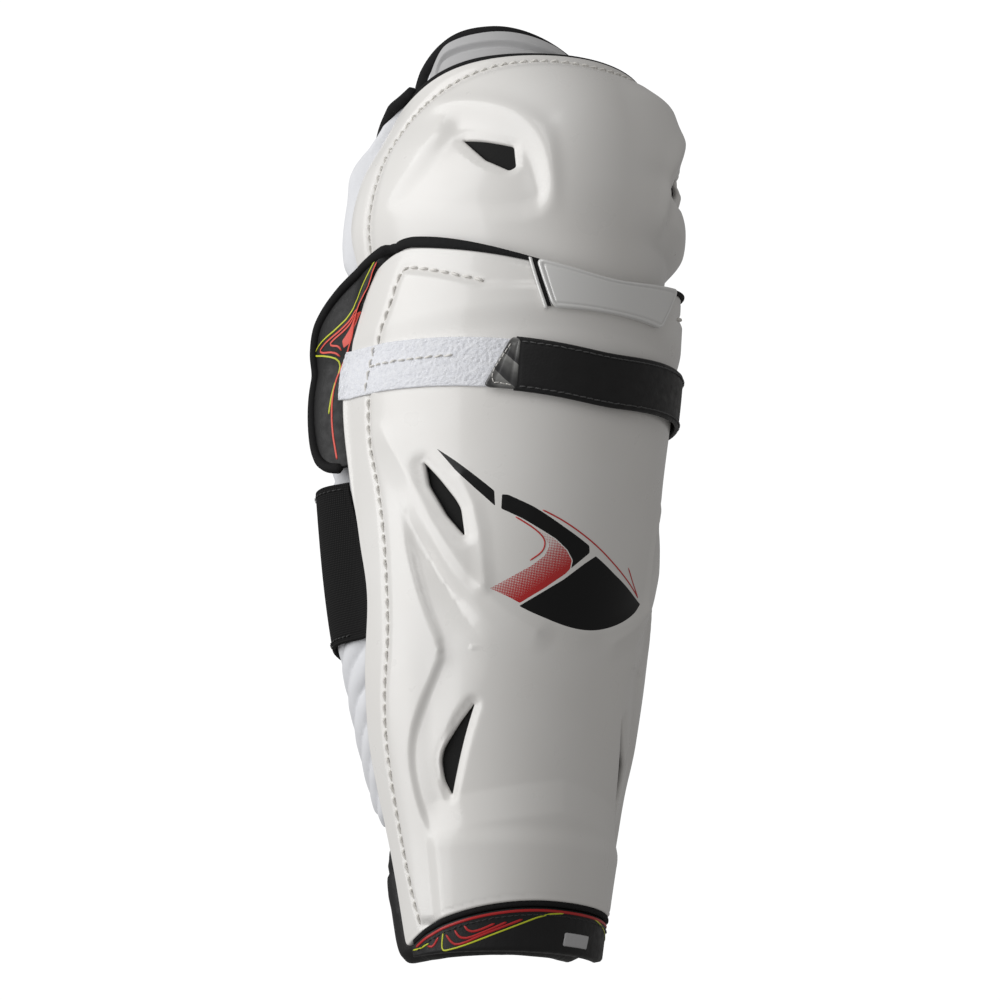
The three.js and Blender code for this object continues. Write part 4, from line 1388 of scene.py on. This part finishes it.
def wing(side, name):
    body = f"{name}_wing"
    gusset = lambda z: ordered(side, LEG.edge(z, side, 5), LEG.across(WING_HINGE + 0.4 + 0 * z, z, side))
    pad(f"{name}_gusset_padding", LEG, gusset, lambda a: (298 + 0 * a, wing_top(a) + 0.4),
        lifted(5.4, 8.8, wing_rise), (30, 60), MESH, rim=1.3, body="shin", slot="black_knit",
        replaces=f"{name}_gusset")

    def across_hinge(piece):
        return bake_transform(piece)

    inner_drop = 0 if side < 0 else 3
    outline = [(a, z - inner_drop * smooth(z, 320, 340)) for a, z in WING_OUTLINE]
    z = np.linspace(250, 338, 45)
    near = np.stack([-LEG.edge(z, 1, -2.5), z], -1).tolist()
    border = rounded(to_plane(outline + near), 5, 1.0) * (-side, 1)
    fill = to_plane(WING_FILL) * (-side, 1)
    skin = shell(f"{name}_wing_skin", LEG, turned(border), [], [turned(rounded(fill, 0.8, 0.5))], wing_face,
                 [VINYL, CORAL], cell=1.6, thickness=1.8, body=None, slot="black_vinyl",
                 replaces=f"{name}_wing_shell")
    across_hinge(skin)
    rim = softened(outline, 3)[9:] * (-side, 1)
    cord = piping(f"{name}_wing_piping", LEG, rim, wing_cord_height, 2.5, BINDING, body=None,
                  slot="black_knit", replaces=f"{name}_wing_binding")
    across_hinge(cord)
    inks = (("yellow", WING_YELLOW, 0.95, YELLOW), ("coral", WING_CORAL, 1.05, CORAL))
    for label, paths, width, material in inks:
        own = [softened(path, 1) * (-side, 1) for path in paths]
        line = ink(f"{name}_wing_{label}_line", LEG, own, wing_face, width, material, body=None,
                   slot="black_vinyl")
        across_hinge(line)

    hinge = lambda z: np.maximum(rows_at(SHELL_REAR_EDGE, z)[..., 0], WING_HINGE)
    front = lambda z, gap: LEG.across(hinge(z) + gap, z, side)
    span = lambda near, far: (lambda z: ordered(side, front(z, near), side * (far + 0 * z)))
    tall = lambda low, high: (lambda a: (wing_bottom(a) + low, wing_top(a) - high))
    pad(f"{name}_wing_stiffener", LEG, span(5, WING_REAR - 4), tall(4, 6), lifted(5.0, 5.7, wing_rise),
        (40, 60), STIFF, rim=0.3, corner=18, corner_side=side, body=body, slot="stiffener_black")
    soft = pad(f"{name}_wing_padding", LEG, span(4.5, WING_REAR - 3.5), tall(2.5, 4),
               lifted(5.8, 9.2, wing_rise), (50, 70), MESH, rim=1.7, corner=18, corner_side=side, body=body,
               slot="black_knit", replaces=f"{name}_wing_pad")
    around = lambda z: ordered(side, LEG.edge(z, side, 2.5), side * (BACK_SPLIT - 1.0 + 0 * z))
    depth = lambda z: 6.4 + 4.8 * smooth(z, 236, 246)
    soft_pad(f"{name}_calf_padding", LEG, around,
             lambda a: (73 + 40 * np.maximum(0, (np.abs(a) - 110) / 70), 266.5 + 0 * a),
             lambda a, z: (depth(z), depth(z) + 6.8), (70, 90), FABRIC, body=body, fill=0.65, cap=2.2,
             voxel=4.6, rim=3.4, corner=10, relief=calf_ribs, slot="white_fabric",
             replaces=f"{name}_calf_pad")


# ---------- straps
STRAP_FACE = -5  # depths of a closed strap's two faces
STRAP_UNDER = -3.4


def strap(name, angles, heights, depths, cells, material, edge, thread=DARK_THREAD, **rest):
    """Webbing with a row of stitches along both edges."""
    sunk = lambda a, z, gap: -0.22 * bell(gap, edge, 0.7)
    pad(name, LEG, angles, heights, depths, cells, material, rim=0.75, relief=sunk, **rest)
    low, high = angles(np.array(270.0))
    a = np.linspace(float(low) + 1.6, float(high) - 1.6, 90)
    bottom, top = heights(a)
    paths = [np.stack([a, bottom + edge], -1), np.stack([a, top - edge], -1)]
    stitches(f"{name}_stitching", LEG, paths, lambda a, z: -depths(a, z)[0], thread, pitch=3.4, radius=0.3,
             seed=31, body=rest["body"], slot=rest["slot"])


def straps():
    sinks_in = lambda a, z: -8.6 * smooth(a, 205, 238)
    strap("wrap_strap_rear", level(STRAP_BEND + 1.0, 238.0), strap_band(STRAP_WIDTH),
          lifted(STRAP_FACE, STRAP_UNDER, sinks_in), (150, 20), KNIT, 2.2, body="lateral_wing",
          slot="black_knit", replaces="upper_strap_rear")
    strap("wrap_strap_front", level(-30.0, STRAP_BEND), strap_band(STRAP_WIDTH),
          lifted(-5.2, STRAP_UNDER, lambda a, z: 0 * a), (190, 22), VINYL, 2.2, STRAP_THREAD,
          body="upper_strap", slot="black_vinyl", replaces="upper_strap_front")
    pad("wrap_strap_hook", LEG, level(-28.5, -2), strap_band(STRAP_WIDTH - 4), (-3.3, -2.5), (40, 20), HOOK,
        rim=0.3, body="upper_strap", slot="hook_tape", replaces="upper_strap_hook")
    slanted = lambda z: (-39.5 + (z - 268) * 0.32, -28.6 + 0 * z)
    pad("wrap_strap_tab", LEG, slanted, strap_band(STRAP_WIDTH - 1), (-5.4, -3.0), (26, 30), TAB, rim=0.9,
        corner=2.4, relief=lambda a, z, gap: -0.3 * bell(gap, 2.6, 0.7), body="upper_strap", slot="tab_grey",
        replaces="upper_strap_tab")
    loop = [(-30.6, 269.6), (-36.4, 271.4), (-36.2, 276.4), (-31.4, 288.8)]
    stitches("wrap_strap_tab_stitching", LEG, [loop], lambda a, z: 5.2 + 0 * a, THREAD, pitch=2.6,
             radius=0.26, seed=37, body="upper_strap", slot="tab_grey")

    settles = lambda a, z: -7.6 * smooth(a, 150, 262)
    elastic = lifted(STRAP_FACE, STRAP_UNDER, settles)
    around = lambda z: (STRAP_BEND + 1.0 + 0 * z, 360 + LEG.edge(z, -1, 2.0))
    strap("elastic_rear", around, lower_band(0), elastic, (220, 90), KNIT, 3.0, body="lateral_wing",
          slot="black_knit", replaces="lower_strap_rear")
    strap("elastic_front", level(LOWER_STRAP_END + 8.0, STRAP_BEND), lower_band(0), elastic, (50, 90), KNIT,
          3.0, body="lower_strap", slot="black_knit", replaces="lower_strap_front")
    pad("elastic_hook", LEG, level(LOWER_STRAP_END + 1, 86), lower_band(12), (-3.3, -2.5), (20, 60), HOOK,
        rim=0.3, body="lower_strap", slot="hook_tape", replaces="lower_strap_hook")
    pad("elastic_tab", LEG, level(LOWER_STRAP_END, LOWER_STRAP_END + 8.6), lower_band(5), (-5.5, -3.1),
        (20, 60), TAB, rim=0.9, corner=5, body="lower_strap", slot="tab_grey", replaces="lower_strap_tab")


shin_shell()
knee_shell()
shin_trims()
ankle_cuff()
knee_trims()
thigh_flap()
for side, name in SIDES:
    wing(side, name)
straps()

# ---------- camera and light
CAMERA_AZIMUTH = -31
CAMERA_ELEVATION = -16
CAMERA_DISTANCE = 1.60
CAMERA_TARGET_HEIGHT = 235
CAMERA_SIDE = -10
LENS = 119
GUARD_MIDDLE = Vector((0, 0, 0.24))
SURROUND_COLOR = (0.62, 0.61, 0.60, 1)
SURROUND_STRENGTH = 0.43
BACKDROP_STRENGTH = 1.05


def towards(azimuth, elevation):
    """The way from the guard to a place round it."""
    a = azimuth * DEGREE
    e = elevation * DEGREE
    return Vector((math.sin(a) * math.cos(e), -math.cos(a) * math.cos(e), math.sin(e)))


def aimed(data, centre, way, distance):
    """Puts a camera or lamp on the scene, facing the centre from this way off."""
    item = bpy.data.objects.new(data.name, data)
    item.location = centre + way * distance
    item.rotation_euler = way.to_track_quat("Z", "Y").to_euler()
    bpy.context.scene.collection.objects.link(item)
    return item


def camera():
    right = Vector((math.cos(CAMERA_AZIMUTH * DEGREE), math.sin(CAMERA_AZIMUTH * DEGREE), 0))
    target = Vector(place((0, 0, CAMERA_TARGET_HEIGHT))) + right * CAMERA_SIDE * GRADE * MM
    data = bpy.data.cameras.new("camera")
    data.lens = LENS
    data.sensor_width = 36
    data.clip_end = 20
    way = towards(CAMERA_AZIMUTH, CAMERA_ELEVATION)
    bpy.context.scene.camera = aimed(data, target, way, CAMERA_DISTANCE * GRADE)


def soft_light(name, azimuth, elevation, distance, size, power):
    """An area light that faces the guard's middle."""
    data = bpy.data.lights.new(name, "AREA")
    data.shape = "RECTANGLE"
    data.size, data.size_y = size
    data.energy = power
    aimed(data, GUARD_MIDDLE, towards(azimuth, elevation), distance)


def studio():
    """Surroundings that look white and light the guard as a soft grey, and two soft lights."""
    scene = bpy.context.scene
    scene.view_settings.view_transform = "Standard"
    world = bpy.data.worlds.new("studio")
    world.use_nodes = True
    tree = world.node_tree
    grey = tree.nodes["Background"]
    white = tree.nodes.new("ShaderNodeBackground")
    for node, color, strength in (
            (grey, SURROUND_COLOR, SURROUND_STRENGTH), (white, (1, 1, 1, 1), BACKDROP_STRENGTH)):
        node.inputs["Color"].default_value = color
        node.inputs["Strength"].default_value = strength
    path = tree.nodes.new("ShaderNodeLightPath")
    choose = tree.nodes.new("ShaderNodeMixShader")
    tree.links.new(path.outputs["Is Camera Ray"], choose.inputs["Fac"])
    tree.links.new(grey.outputs[0], choose.inputs[1])
    tree.links.new(white.outputs[0], choose.inputs[2])
    tree.links.new(choose.outputs[0], tree.nodes["World Output"].inputs["Surface"])
    scene.world = world
    soft_light("key_light", -97, 12, 1.5, (1.3, 1.7), 19)
    soft_light("front_light", -35, 30, 1.7, (0.5, 0.9), 3)


camera()
studio()
